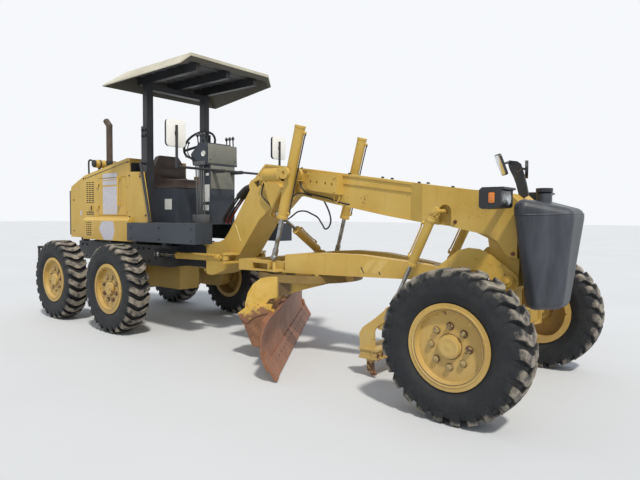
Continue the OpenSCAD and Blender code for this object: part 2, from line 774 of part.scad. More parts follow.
// Front frame: gooseneck box, articulation lugs, nose with the axle bolster
module front_frame() {
    color(yellow) {
        difference() {
            side_plate(-neck_half, neck_half, neck_points);
            for (side = [-1, 1])
                on_side(side)
                    side_plate(-neck_half - 1, -neck_half + window_depth, window_points);
        }
        for (points = [top_strip, ledge_strip, low_strip])
            side_plate(-neck_half - strip_out, neck_half + strip_out, points);
        // Wider nose, stepped out behind the lamps, with a notch for each scarifier cylinder
        difference() {
            intersection() {
                side_plate(-nose_half, nose_half, nose_points);
                linear_extrude(2000)
                    polygon([
                        [nose_step[0], -neck_half + 1], [nose_step[1], -nose_half], [nose_x + 1, -nose_half],
                        [nose_x + 1, nose_half], [nose_step[1], nose_half], [nose_step[0], neck_half - 1]]);
            }
            for (side = [-1, 1])
                on_side(side) {
                    block([scar_cyl_high.x - 42, -nose_half - 1, 1250],
                        [scar_cyl_high.x + 70, -neck_half - 5, scar_cyl_high.y]);
                    pin_y([scar_cyl_high.x + 14, scar_cyl_high.y], -nose_half - 1, -neck_half - 5, 56);
                }
        }
        // Articulation lugs above and below the tongue
        for (z = [lug_low_z, lug_high_z])
            difference() {
                union() {
                    block([-hitch_x, -lug_r, z], [-534, lug_r, z + lug_t]);
                    pin_z([-hitch_x, 0], z, z + lug_t, lug_r);
                }
                pin_z([-hitch_x, 0], z - 1, z + lug_t + 1, hitch_pin_r + run_fit);
            }
        // Lugs of the steering cylinders that bend the frame
        for (side = [-1, 1])
            on_side(side) {
                for (z = [hitch_cyl_z - lug_gap - lug_thin, hitch_cyl_z + lug_gap])
                    hull() {
                        pin_z(hitch_cyl_front, z, z + lug_thin, 42);
                        block([hitch_cyl_front.x - 60, -neck_half - 1, z],
                            [hitch_cyl_front.x + 90, -neck_half, z + lug_thin]);
                    }
                pin_z(hitch_cyl_front, hitch_cyl_z - lug_gap, hitch_cyl_z + lug_gap, 18);
            }
        // Bolster plates with the axle's pivot pin
        for (x = [bolster_x - beam_half_x - 24, bolster_x + beam_half_x]) {
            block([x, -neck_half, 660], [x + 24, neck_half, 860]);
            along([x, 0, axle_pivot_z], [x + 24, 0, axle_pivot_z]) cylinder(h = 24, r = 75);
        }
        along([bolster_x - 85, 0, axle_pivot_z], [bolster_x + 85, 0, axle_pivot_z])
            cylinder(h = 170, r = 30);
        // Plates above and below the drawbar's ball piece, with its upright pin
        for (z = [ball_z - 65, ball_z + 45]) {
            block([ball_x, -50, z], [bolster_x - beam_half_x - 20, 50, z + 20]);
            pin_z([ball_x, 0], z, z + 20, 50);
        }
        pin_z([ball_x, 0], ball_z - 65, ball_z + 65, 25);
        for (side = [-1, 1])
            on_side(side) {
                // Pins of the scarifier's arms, with a boss and a head
                pin_y(scar_pin, -neck_half - 6, -neck_half + 1, scar_boss + 6);
                pin_y(scar_pin, -scar_y - scar_boss_half - seat_gap - 1, -neck_half, 30);
                pin_y(scar_pin, -scar_y - scar_boss_half - seat_gap - 10, -scar_y - scar_boss_half - seat_gap,
                    40);
                // Pins of the scarifier's cylinders
                pin_y(scar_cyl_high, -scar_cyl_y - 34, -neck_half, 18);
                // Saddle box beside the crown
                difference() {
                    side_plate(-saddle_out, -neck_half, saddle_points);
                    for (p = saddle_holes) {
                        pin_y(p, -saddle_out - 1, -saddle_out + 20, 9);
                        pin_y([p.x, p.y - 12], -saddle_out - 1, -saddle_out + 20, 9);
                        block([p.x - 9, -saddle_out - 1, p.y - 12], [p.x + 9, -saddle_out + 20, p.y]);
                    }
                }
            }
        // Bracket and lug of the centre shift cylinder on the right
        side_plate(-neck_half - 60, -neck_half, [
            [640, 1420], [760, 1460], [830, 1600], [700, 1720], [500, 1740], [560, 1560]]);
        for (x = [shift_x - shift_lug_half - 20, shift_x + shift_lug_half])
            hull() {
                along([x, shift_high.x, shift_high.y], [x + 20, shift_high.x, shift_high.y])
                    cylinder(h = 20, r = 40);
                block([x, -neck_half - 1, 1640], [x + 20, -neck_half, 1720]);
            }
        for (s = [-1, 1])
            along([shift_x + s * (shift_lug_half + 1), shift_high.x, shift_high.y],
                [shift_x, shift_high.x, shift_high.y])
                cylinder(h = 32, r = pin_r);
    }
}

// Cylinder bank: housings that hold the swivel forks, on arms beside the neck
module cylinder_bank() {
    color(yellow)
        for (side = [-1, 1])
            on_side(side)
                difference() {
                    union() {
                        along([bank_back_x, -lift_y, lift_pivot.y], [bank_front_x, -lift_y, lift_pivot.y])
                            cylinder(h = bank_front_x - bank_back_x, r = bank_r);
                        block([bank_back_x + 20, -lift_y, lift_pivot.y - 50],
                            [bank_front_x - 30, -neck_half - seat_gap, lift_pivot.y + 40]);
                    }
                    along([bank_back_x - 1, -lift_y, lift_pivot.y], [bank_front_x + 1, -lift_y, lift_pivot.y])
                        cylinder(h = bank_front_x - bank_back_x + 2, r = fork_shaft_r + run_fit);
                }
}

// Swivel fork of a lift cylinder: shaft in the housing, web and two arms with trunnion bosses
module lift_fork(side) {
    color(yellow)
        on_side(side)
            difference() {
                union() {
                    along([bank_back_x - 10, -lift_y, lift_pivot.y], [fork_web[0], -lift_y, lift_pivot.y])
                        cylinder(h = fork_web[0] - bank_back_x + 10, r = fork_shaft_r);
                    block([fork_web[0], -lift_y - fork_in - 24, lift_pivot.y - 48],
                        [fork_web[1], -lift_y + fork_in + 24, lift_pivot.y + 48]);
                    for (s = [-1, 1]) {
                        block([fork_web[0], -lift_y + (s > 0 ? fork_in : -fork_in - 24), lift_pivot.y - 40],
                            [lift_pivot.x, -lift_y + (s > 0 ? fork_in + 24 : -fork_in), lift_pivot.y + 40]);
                        pin_y(lift_pivot, -lift_y + (s > 0 ? fork_in : -fork_out),
                            -lift_y + (s > 0 ? fork_out : -fork_in), 56);
                    }
                }
                pin_y(lift_pivot, -lift_y - fork_out - 1, -lift_y + fork_out + 1, trunnion_r + run_fit);
            }
}

// Hydraulic barrel along +Z from its eye or trunnion, closed at the top, with a gland below
module barrel(length, bore, wall, rod) {
    difference() {
        cylinder(h = length, r = bore + wall);
        translate([0, 0, gland_h])
            cylinder(h = length - gland_h - cap_h, r = bore);
        translate([0, 0, -1])
            cylinder(h = gland_h + 2, r = rod + run_fit);
    }
}

// Rod along +Z with its piston
module rod_piston(length, bore, rod) {
    cylinder(h = length, r = rod);
    translate([0, 0, length])
        cylinder(h = piston_h, r = bore - run_fit);
}

// Barrel of a lift cylinder with its two trunnions
module lift_barrel(side) {
    top = xz(lift_top, -lift_y);
    ball = xz(lift_ball, -lift_y);
    up = unit(top - ball);
    gland = ball + up * ((lift_gland_z - ball.z) / up.z);
    color(yellow)
        on_side(side) {
            along(gland, top) barrel(norm(top - gland), lift_bore, lift_wall, rod_r);
            for (s = [-1, 1])
                pin_y(lift_pivot, -lift_y + (s > 0 ? lift_bore + 4 : -97),
                    -lift_y + (s > 0 ? 97 : -lift_bore - 4), trunnion_r);
        }
}

// Rod of a lift cylinder with the ball socket at its lower end
module lift_rod(side) {
    top = xz(lift_top, -lift_y);
    ball = xz(lift_ball, -lift_y);
    color(chrome)
        on_side(side) {
            along(ball, top) rod_piston(lift_rod_l, lift_bore, rod_r);
            along(ball, top) cylinder(h = ball_collar, r = rod_r + 6);
            translate(ball) sphere(r = ball_end_r);
        }
}

// Ball piece at the nose: swings about the upright pin, carries the drawbar's cross pin
module drawbar_ball() {
    color(tank_grey) {
        difference() {
            pin_z([ball_x, 0], ball_z - 40, ball_z + 40, 58);
            pin_z([ball_x, 0], ball_z - 41, ball_z + 41, 25 + run_fit);
        }
        for (s = [-1, 1])
            pin_y([ball_x, ball_z], s > 0 ? 54 : -88, s > 0 ? 88 : -54, 22);
    }
}

// Drawbar: frame of two beams with a lower yoke over the back of the circle
module drawbar() {
    color(yellow) {
        difference() {
            intersection() {
                translate([0, 0, 700])
                    linear_extrude(500)
                        difference() {
                            polygon([[350, -440], [930, -450], [2600, -92], [ball_x + 40, -92],
                                [ball_x + 40, 92], [2600, 92], [930, 450], [350, 440]]);
                            polygon([[450, -330], [880, -340], [880, 340], [450, 330]]);
                            polygon([[1010, -330], [2400, -30], [2400, 30], [1010, 330]]);
                            translate([ball_x - 80, -64])
                                square([121, 128]);
                        }
                side_plate(-500, 500, [
                    [350, 815], [350, 927], [990, 927], [1010, 1005], [1380, 1032], [1780, 1029],
                    [2256, 985], [ball_x + 40, 925], [ball_x + 40, 835], [2256, 835], [1400, 826], [900, 826]]);
            }
            for (side = [-1, 1])
                on_side(side) {
                    block([560, -beam_low_y - 1, 842], [pocket_x[0] - 25, -350, 902]);
                    block([pocket_x[0], -beam_low_y - 1, pocket_z], [pocket_x[1], -pocket_y, 1100]);
                }
            pin_y([ball_x, ball_z], -93, 93, 22 + run_fit);
        }
        // Shoes on the circle and clips that hold its inner flange
        translate([circle_x, 0, 0])
            for (a = shoe_angles)
                rotate([0, 0, a]) {
                    translate([flange_r, 0, circle_top_z + seat_gap])
                        cylinder(h = 18, r = 36);
                    block([430, -45, circle_top_z - flange_h - seat_gap - 20], [450, 45, circle_top_z + 20]);
                    block([430, -45, circle_top_z - flange_h - seat_gap - 20],
                        [flange_r - 8, 45, circle_top_z - flange_h - seat_gap]);
                }
        // Shelf and stud under each lift rod's ball
        for (side = [-1, 1])
            on_side(side) {
                block([lift_ball.x - 55, -lift_y - 30, pocket_z - 14],
                    [lift_ball.x + 55, -beam_low_y + 20, pocket_z]);
                pin_z([lift_ball.x, -lift_y], pocket_z - 1, stud_top, stud_r);
            }
        // Swivel of the centre shift cylinder: pin along its own axis between two upright lugs
        low = [shift_x, shift_low.x, shift_low.y];
        along(low - shift_swivel * 54, low + shift_swivel) cylinder(h = 108, r = pin_r);
        for (s = [-1, 1]) {
            foot = low + shift_swivel * (s * 44);
            along(foot - shift_swivel * 10, foot + shift_swivel) cylinder(h = 20, r = eye_r);
            block([foot.x + s * 4 - 8, foot.y - 30, 920], [foot.x + s * 4 + 8, foot.y + 30, foot.z]);
        }
        // Circle drive: gear housing on a plate between the beams, with its motor behind
        block([drive_x - 90, -262, 842], [drive_x + 90, 262, 866]);
        pin_z([drive_x, 0], 830, 985, drive_r);
        along([drive_x, 0, 935], [drive_x + 250, 0, 935]) cylinder(h = 250, r = 48);
    }
}

// Dovetail section of a blade rail, grown by fit
function rail_outline(z, fit) = [
    [rail_back - fit, z - rail_half - 8 - fit], [rail_back - fit, z + rail_half + 8 + fit],
    [rail_front, z + rail_half - 6 + fit], [rail_front, z - rail_half + 6 - fit]];

// Circle: ring under the drawbar with two blade arms and the blade's slide brackets
module circle_ring() {
    color(yellow)
        translate([circle_x, 0, 0])
            rotate([0, 0, circle_turn]) {
                difference() {
                    union() {
                        translate([0, 0, circle_top_z - circle_h])
                            cylinder(h = circle_h, r = circle_r);
                        for (y = [-arm_y, arm_y])
                            side_plate(y - arm_t / 2, y + arm_t / 2, arm_points);
                    }
                    translate([0, 0, circle_top_z - circle_h - 1])
                        cylinder(h = circle_h + 2, r = flange_r);
                }
                // Brackets below the arms with the guides of the blade's two rails
                for (y = [-arm_y, arm_y])
                    difference() {
                        union() {
                            side_plate(y - guide_half, y + guide_half, bracket_points);
                            side_plate(y + (y > 0 ? guide_half : -guide_half - quadrant_t),
                                y + (y > 0 ? guide_half + quadrant_t : -guide_half), quadrant_points);
                            for (z = rail_z)
                                block([rail_back - 55, y - guide_half, z - 41],
                                    [rail_front - 25, y + guide_half, z + 41]);
                        }
                        for (z = rail_z)
                            side_plate(y - guide_half - 1, y + guide_half + 1, rail_outline(z, guide_fit));
                    }
            }
}

// Toothed ring inside the circle, held from below by the drawbar's clips
module circle_gear() {
    color(tank_grey)
        translate([circle_x, 0, circle_top_z - flange_h])
            rotate([0, 0, circle_turn])
                linear_extrude(flange_h)
                    difference() {
                        circle(r = flange_r - seat_gap, $fn = 2 * gear_teeth);
                        polygon([
                            for (i = [0:gear_teeth - 1])
                                for (k = tooth_turns)
                                    let (a = (i + k[0]) * 360 / gear_teeth)
                                        k[1] * [cos(a), sin(a)]]);
                    }
}

// Blade: curved moldboard that slides on its two rails
module blade() {
    color(rust)
        translate([circle_x, 0, 0])
            rotate([0, 0, circle_turn])
                translate([0, blade_shift, 0]) {
                    translate([0, blade_l / 2, 0])
                        rotate([90, 0, 0])
                            linear_extrude(blade_l)
                                intersection() {
                                    translate([blade_cx, blade_cz])
                                        difference() {
                                            circle(r = blade_r + blade_t);
                                            circle(r = blade_r);
                                        }
                                    translate([-450, blade_low_z + 76])
                                        square([400, blade_h - 86]);
                                }
                    for (z = rail_z)
                        side_plate(-blade_l / 2 + 250, blade_l / 2 - 250, rail_outline(z, 0));
                }
}

// Cutting edge along the blade's foot, with a taller end bit at each end
module cutting_edge() {
    color(rust)
        translate([circle_x, 0, 0])
            rotate([0, 0, circle_turn])
                translate([0, blade_shift, 0]) {
                    side_plate(-blade_l / 2 + end_bit_w, blade_l / 2 - end_bit_w, [
                        [edge_x, blade_low_z], [edge_x + 14, blade_low_z], [edge_x - 66, blade_low_z + 140],
                        [edge_x - 80, blade_low_z + 140]]);
                    for (y = [-blade_l / 2, blade_l / 2 - end_bit_w])
                        side_plate(y, y + end_bit_w, [
                            [edge_x, blade_low_z], [edge_x + 22, blade_low_z], [edge_x - 58, blade_low_z + 140],
                            [edge_x - 82, blade_low_z + 215], [edge_x - 101, blade_low_z + 215],
                            [edge_x - 80, blade_low_z + 140]]);
                }
}

// Centre shift cylinder: barrel on the drawbar's swivel, rod up to the neck
module shift_barrel() {
    low = [shift_x, shift_low.x, shift_low.y];
    high = [shift_x, shift_high.x, shift_high.y];
    up = unit(high - low);
    color(yellow) {
        difference() {
            union() {
                along(low - shift_swivel * eye_half, low) cylinder(h = 2 * eye_half, r = 30);
                along(low, high) cylinder(h = shift_start + 10, r = 22);
            }
            along(low - shift_swivel * (eye_half + 1), low) cylinder(h = 2 * eye_half + 2, r = pin_r + run_fit);
        }
        along(low + up * (shift_start + shift_barrel_l), low)
            barrel(shift_barrel_l, shift_bore, shift_wall, rod_r - 4);
    }
}

// Rod of the centre shift cylinder, with its eye between the neck's lugs
module shift_rod() {
    low = [shift_x, shift_low.x, shift_low.y];
    high = [shift_x, shift_high.x, shift_high.y];
    color(chrome) {
        along(high, low) rod_piston(shift_rod_l, shift_bore, rod_r - 4);
        along([shift_x - 20, high.y, high.z], [shift_x, high.y, high.z])
            cylinder(h = 40, r = 30);
    }
}

// Cylinders that bend the frame: barrel on the front frame, rod to the rear frame
module hitch_barrel(side) {
    front = [hitch_cyl_front.x, hitch_cyl_front.y, hitch_cyl_z];
    back = [hitch_cyl_back.x, hitch_cyl_back.y, hitch_cyl_z];
    dir = unit(back - front);
    color(yellow)
        on_side(side) {
            difference() {
                union() {
                    pin_z(front, hitch_cyl_z - eye_half, hitch_cyl_z + eye_half, eye_r);
                    along(front, back) cylinder(h = hitch_start + 10, r = 20);
                }
                pin_z(front, hitch_cyl_z - eye_half - 1, hitch_cyl_z + eye_half + 1, pin_r + run_fit);
            }
            along(front + dir * (hitch_start + hitch_barrel_l), front)
                barrel(hitch_barrel_l, hitch_bore, hitch_wall, rod_r);
        }
}

// Rod of a cylinder that bends the frame
module hitch_rod(side) {
    front = [hitch_cyl_front.x, hitch_cyl_front.y, hitch_cyl_z];
    back = [hitch_cyl_back.x, hitch_cyl_back.y, hitch_cyl_z];
    color(chrome)
        on_side(side) {
            along(back, front) rod_piston(hitch_rod_l, hitch_bore, rod_r);
            pin_z(back, hitch_cyl_z - eye_half, hitch_cyl_z + eye_half, eye_r);
        }
}

// Scarifier: two arched arms that spread to the rear, cross tube, lipped block and toothed shanks
module scarifier() {
    color(yellow) {
        difference() {
            for (side = [-1, 1])
                on_side(side) {
                    translate([scar_pin.x, -scar_y, 0])
                        rotate([0, 0, scar_splay]) {
                            side_plate(-scar_plate_t / 2, scar_plate_t / 2, scar_points);
                            pin_y([0, scar_pin.y], -scar_plate_t / 2, scar_plate_t / 2, scar_eye);
                        }
                    pin_y(scar_pin, -scar_y - scar_boss_half, -scar_y + scar_boss_half, scar_boss);
                }
            pin_y(scar_pin, -400, 400, 30 + run_fit);
        }
        pin_y(scar_tube, -440, 440, 36);
        // Lugs on both sides of each rod's eye, with the ends of its pin
        for (side = [-1, 1])
            on_side(side)
                for (y = [-scar_cyl_y - 38, -scar_cyl_y + 38]) {
                    translate([scar_back, 0, 0])
                        side_plate(y - 6, y + 6, scar_lug_points);
                    pin_y(scar_cyl_low, y - 9, y + 9, pin_r);
                }
        block([scar_block[0] + 10, -scar_block_half + 8, scar_block[2]],
            [scar_block[1] - 10, scar_block_half - 8, scar_block[3]]);
        for (z = [scar_block[2], scar_block[3] - 18])
            block([scar_block[0], -scar_block_half, z], [scar_block[1], scar_block_half, z + 18]);
        translate([scar_back, 0, 0])
            for (y = shank_y)
                side_plate(y - 16, y + 16, shank_points);
    }
}

// Cylinders that lift the scarifier: barrels on the nose
module scarifier_barrels() {
    color(yellow)
        for (side = [-1, 1])
            on_side(side) {
                high = xz(scar_cyl_high, -scar_cyl_y);
                low = xz(scar_cyl_low, -scar_cyl_y);
                dir = unit(low - high);
                difference() {
                    union() {
                        pin_y(scar_cyl_high, -scar_cyl_y - eye_half, -scar_cyl_y + eye_half, eye_r);
                        along(high, low) cylinder(h = scar_start + 10, r = 22);
                    }
                    pin_y(scar_cyl_high, -scar_cyl_y - eye_half - 1, -scar_cyl_y + eye_half + 1,
                        pin_r + run_fit);
                }
                along(high + dir * (scar_start + scar_barrel_l), high)
                    barrel(scar_barrel_l, scar_bore, scar_wall, rod_r - 4);
            }
}

// Rods of the scarifier's cylinders, with their eyes between its lugs
module scarifier_rods() {
    color(chrome)
        for (side = [-1, 1])
            on_side(side) {
                along(xz(scar_cyl_low, -scar_cyl_y), xz(scar_cyl_high, -scar_cyl_y))
                    rod_piston(scar_rod_l, scar_bore, rod_r - 4);
                pin_y(scar_cyl_low, -scar_cyl_y - eye_half, -scar_cyl_y + eye_half, 30);
            }
}

// Moulded tank at the nose, narrower below, with its filler cap
module front_tank() {
    color(tank_grey) {
        hull()
            for (p = [[nose_x + tank_round + seat_gap, 300, 1441], [nose_x + 305, 130, 1385],
                [nose_x + 135, 200, 765], [nose_x + 235, 70, 765]])
                for (s = [-1, 1])
                    translate([p.x, s * p.y, p.z])
                        sphere(r = tank_round, $fn = 32);
        pin_z([nose_x + 120, 0], 1480, 1562, 54);
    }
}

// Head lamp housings with a visor over the lenses' recess, on arms beside the nose
module head_lamps() {
    color(black)
        for (side = [-1, 1])
            on_side(side) {
                difference() {
                    side_plate(-lamp_y[1], -lamp_y[0], [
                        [nose_x - 150, 1452], [nose_x - 130, 1438], [nose_x - 4, 1446], [nose_x + 8, 1460],
                        [nose_x + 8, 1572], [nose_x + 30, 1578], [nose_x + 26, 1592], [nose_x - 128, 1592],
                        [nose_x - 150, 1574]]);
                    block([nose_x - 14, -lamp_y[1] + 16, 1460], [nose_x + 9, -lamp_y[0] - 16, 1570]);
                    block([nose_x - 82, -lamp_y[1] - 1, 1478], [nose_x - 34, -lamp_y[1] + 8, 1556]);
                }
                block([nose_x - 110, -lamp_y[0], 1480], [nose_x - 70, -nose_half - seat_gap, 1520]);
            }
}

// Mirror post on the nose with an oblong and a round mirror
module front_mirrors() {
    color(black) {
        side_plate(-12, 12, [
            [nose_x - 72, 1560.7], [nose_x - 70, 1560.4], [nose_x - 35, 1530.4], [nose_x + 4, 1552],
            [nose_x - 17, 1649], [nose_x - 32, 1703], [nose_x - 64, 1801], [nose_x - 91, 1821],
            [nose_x - 154, 1832], [nose_x - 163, 1816], [nose_x - 148, 1761], [nose_x - 115, 1697],
            [nose_x - 97, 1652]]);
        along([nose_x - 150, 0, 1820], [nose_x - 105, -290, 1776]) cylinder(h = norm([45, 290, 44]), r = 9);
        translate([nose_x - 105, -296, 1772])
            rotate([0, -22, 40])
                round_plate_x(-8, 8, [0, 0], 110, 166, 24);
        along([nose_x - 62, 8, 1766], [nose_x - 55, 92, 1762]) cylinder(h = 84, r = 9);
        translate([nose_x - 52, 100, 1762])
            rotate([0, 90, 20])
                cylinder(h = 24, r = 72, center = true);
    }
}

// Front axle: beam with an eye at each end and the steering cylinder's barrel behind it
module front_axle() {
    color(yellow)
        difference() {
            union() {
                block([front_axle_x - beam_half_x, -kingpin_y, axle_z - 55],
                    [front_axle_x + beam_half_x, kingpin_y, axle_z + 55]);
                along([front_axle_x - beam_half_x, 0, axle_pivot_z], [front_axle_x, 0, axle_pivot_z])
                    cylinder(h = 2 * beam_half_x, r = 75);
                block([front_axle_x - beam_half_x, -140, axle_z],
                    [front_axle_x + beam_half_x, 140, axle_pivot_z]);
                for (s = [-1, 1])
                    pin_z([front_axle_x, s * kingpin_y], axle_z - 55, axle_z + 55, beam_half_x);
                block([steer_cyl_x, -120, steer_cyl_z - 30], [front_axle_x, 120, steer_cyl_z - 4]);
                along([steer_cyl_x, -220, steer_cyl_z], [steer_cyl_x, 220, steer_cyl_z])
                    cylinder(h = 440, r = 40);
            }
            along([front_axle_x - 90, 0, axle_pivot_z], [front_axle_x, 0, axle_pivot_z])
                cylinder(h = 180, r = 30 + run_fit);
            for (s = [-1, 1])
                pin_z([front_axle_x, s * kingpin_y], axle_z - 60, axle_z + 60, kingpin_r + run_fit);
            along([steer_cyl_x, -221, steer_cyl_z], [steer_cyl_x, 221, steer_cyl_z])
                cylinder(h = 442, r = rod_r - 4 + run_fit);
        }
}

// Steering knuckle: yoke round the beam's eye, kingpin, spindle and arm
module knuckle(side) {
    color(yellow)
        on_side(side) {
            for (z = [axle_z - 55 - 35, axle_z + 55 + 5])
                hull() {
                    pin_z([front_axle_x, -kingpin_y], z, z + 30, 46);
                    block([front_axle_x - 60, -knuckle_y - 20, z],
                        [front_axle_x + 60, -knuckle_y - 18, z + 30]);
                }
            block([front_axle_x - 60, -knuckle_y - 20, axle_z - 90],
                [front_axle_x + 60, -knuckle_y + 10, axle_z + 90]);
            pin_z([front_axle_x, -kingpin_y], axle_z - 60, axle_z + 60, kingpin_r);
            at_wheel(front_axle_x, -1) spindle(knuckle_y - track_half);
            block([tie_x - 30, -kingpin_y - 30, axle_z - 90], [front_axle_x, -kingpin_y + 30, axle_z - 60]);
        }
}

// Tie rod with the steering cylinder's through rod
module tie_rod() {
    color(chrome) {
        along([tie_x, -kingpin_y - 20, tie_z], [tie_x, kingpin_y + 20, tie_z])
            cylinder(h = 2 * kingpin_y + 40, r = 20);
        along([steer_cyl_x, -400, steer_cyl_z], [steer_cyl_x, 400, steer_cyl_z])
            cylinder(h = 800, r = rod_r - 4);
        for (s = [-1, 1])
            block([tie_x - 15, s * 390 - 12, tie_z - 15], [steer_cyl_x + 30, s * 390 + 12, steer_cyl_z + 30]);
    }
}

rear_frame();
hood_shell();
engine_block();
rear_grille();
exhaust_stack();
platform();
seat();
console();
canopy_posts();
canopy_roof();
handrails();
cab_mirrors();
rear_axle();
tandem_case(-1);  // tandem_case_right
tandem_case(1);  // tandem_case_left
door(-1);  // door_right
door(1);  // door_left
at_wheel(rear_x[0], -1) tyre();  // tyre_rear_right_front
at_wheel(rear_x[1], -1) tyre();  // tyre_rear_right_back
at_wheel(rear_x[0], 1) tyre();  // tyre_rear_left_front
at_wheel(rear_x[1], 1) tyre();  // tyre_rear_left_back
at_wheel(rear_x[0], -1) rim();  // rim_rear_right_front
at_wheel(rear_x[1], -1) rim();  // rim_rear_right_back
at_wheel(rear_x[0], 1) rim();  // rim_rear_left_front
at_wheel(rear_x[1], 1) rim();  // rim_rear_left_back
at_wheel(front_axle_x, -1) tyre();  // tyre_front_right
at_wheel(front_axle_x, 1) tyre();  // tyre_front_left
at_wheel(front_axle_x, -1) rim();  // rim_front_right
at_wheel(front_axle_x, 1) rim();  // rim_front_left
steering_wheel();
front_frame();
cylinder_bank();
front_tank();
head_lamps();
front_mirrors();
front_axle();
knuckle(-1);  // knuckle_right
knuckle(1);  // knuckle_left
tie_rod();
drawbar_ball();
drawbar();
circle_ring();  // circle
circle_gear();
blade();
cutting_edge();
lift_fork(-1);  // lift_fork_right
lift_fork(1);  // lift_fork_left
lift_barrel(-1);  // lift_barrel_right
lift_barrel(1);  // lift_barrel_left
lift_rod(-1);  // lift_rod_right
lift_rod(1);  // lift_rod_left
shift_barrel();
shift_rod();
hitch_barrel(-1);  // hitch_barrel_right
hitch_barrel(1);  // hitch_barrel_left
hitch_rod(-1);  // hitch_rod_right
hitch_rod(1);  // hitch_rod_left
scarifier();
scarifier_barrels();
scarifier_rods();
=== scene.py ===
import json
import math

import bpy
from mathutils import Matrix, Vector

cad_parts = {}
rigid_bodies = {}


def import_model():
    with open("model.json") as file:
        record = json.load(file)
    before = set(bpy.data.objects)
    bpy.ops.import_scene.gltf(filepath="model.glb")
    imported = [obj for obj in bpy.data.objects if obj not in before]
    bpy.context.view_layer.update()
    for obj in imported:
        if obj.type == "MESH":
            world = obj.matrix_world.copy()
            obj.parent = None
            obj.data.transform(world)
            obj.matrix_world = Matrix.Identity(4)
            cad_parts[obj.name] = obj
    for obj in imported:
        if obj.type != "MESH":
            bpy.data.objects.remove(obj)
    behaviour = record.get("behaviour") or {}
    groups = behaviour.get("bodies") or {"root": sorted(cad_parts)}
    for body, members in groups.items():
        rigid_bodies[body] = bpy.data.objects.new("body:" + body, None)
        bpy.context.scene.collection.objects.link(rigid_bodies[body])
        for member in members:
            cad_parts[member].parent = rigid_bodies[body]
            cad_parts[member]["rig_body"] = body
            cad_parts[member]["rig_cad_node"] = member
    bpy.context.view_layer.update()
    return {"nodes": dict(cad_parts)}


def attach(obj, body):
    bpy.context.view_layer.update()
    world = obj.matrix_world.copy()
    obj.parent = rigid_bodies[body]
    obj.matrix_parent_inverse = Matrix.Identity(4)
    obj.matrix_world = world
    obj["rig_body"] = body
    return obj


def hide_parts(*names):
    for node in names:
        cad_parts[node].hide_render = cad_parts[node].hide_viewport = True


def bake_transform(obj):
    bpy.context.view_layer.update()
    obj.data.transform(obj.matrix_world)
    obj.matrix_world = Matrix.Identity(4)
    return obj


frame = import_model()

# The camera stands at head height off the right front corner, where the photograph was taken.
# The photograph is 640 by 480, and the lens covers about 62 degrees.
STAND = (4.6053, -4.2668, 1.3751)
HEADING = 2.2594
TIP = -0.0432
ROLL = 0.0063
camera = bpy.data.objects.new("camera", bpy.data.cameras.new("camera"))
bpy.context.scene.collection.objects.link(camera)
camera.data.lens = 30.236
camera.data.sensor_width = 36
camera.data.clip_end = 200
look = Vector((math.cos(HEADING) * math.cos(TIP), math.sin(HEADING) * math.cos(TIP), math.sin(TIP)))
level = Vector((math.sin(HEADING), -math.cos(HEADING), 0))
above = level.cross(look)
right = math.cos(ROLL) * level + math.sin(ROLL) * above
upward = -math.sin(ROLL) * level + math.cos(ROLL) * above
camera.matrix_world = Matrix.Translation(STAND) @ Matrix((right, upward, -look)).transposed().to_4x4()
bpy.context.scene.camera = camera


# The stage: pale power-floated concrete, nearly even, with faint cloudy patches a few metres across.
# It lies level under the wheels and runs out to the white surroundings.
def linear(hex_colour):
    channels = [int(hex_colour[i:i + 2], 16) / 255 for i in (1, 3, 5)]
    return [c / 12.92 if c <= 0.04045 else ((c + 0.055) / 1.055) ** 2.4 for c in channels] + [1.0]


def add_node(tree, kind, settings, sockets, result=None):
    node = tree.nodes.new("ShaderNode" + kind)
    for name, value in settings.items():
        setattr(node, name, value)
    for name, value in sockets.items():
        places = [s for s in node.inputs if s.name == name and s.enabled]
        for socket, given in zip(places, value if isinstance(value, list) and len(places) > 1 else [value]):
            if isinstance(given, bpy.types.NodeSocket):
                tree.links.new(given, socket)
            else:
                socket.default_value = given
    return next(s for s in node.outputs if s.enabled and result in (None, s.name))


def new_material(name):
    """An empty material, its tree, and the place on the piece that its textures are laid by."""
    material = bpy.data.materials.new(name)
    material.use_nodes = True
    material.node_tree.nodes.clear()
    return material, material.node_tree, add_node(material.node_tree, "TexCoord", {}, {}, "Object")


def noise(tree, place, scale, detail=2, roughness=0.5):
    return add_node(tree, "TexNoise", {}, {
        "Vector": place, "Scale": scale, "Detail": detail, "Roughness": roughness})


def ramp(tree, value, low, high, first=0, last=1):
    """What runs evenly from first to last while the value runs from low to high."""
    return add_node(tree, "MapRange", {}, {
        "Value": value, "From Min": low, "From Max": high, "To Min": first, "To Max": last})


def mix(tree, share, base, over):
    """Two colours, each a hex code or a socket, and how much of the second shows."""
    base, over = [linear(tone) if isinstance(tone, str) else tone for tone in (base, over)]
    return add_node(tree, "Mix", {"data_type": "RGBA"}, {"Factor": share, "A": base, "B": over})


def bump(tree, height, strength, distance):
    return add_node(tree, "Bump", {}, {"Strength": strength, "Distance": distance, "Height": height})


def arithmetic(tree, operation, *values):
    return add_node(tree, "Math", {"operation": operation}, {
        "Value": list(values) if len(values) > 1 else values[0]})


def finish_material(tree, sockets):
    shader = add_node(tree, "BsdfPrincipled", {}, sockets)
    output = tree.nodes.new("ShaderNodeOutputMaterial")
    tree.links.new(shader, output.inputs["Surface"])


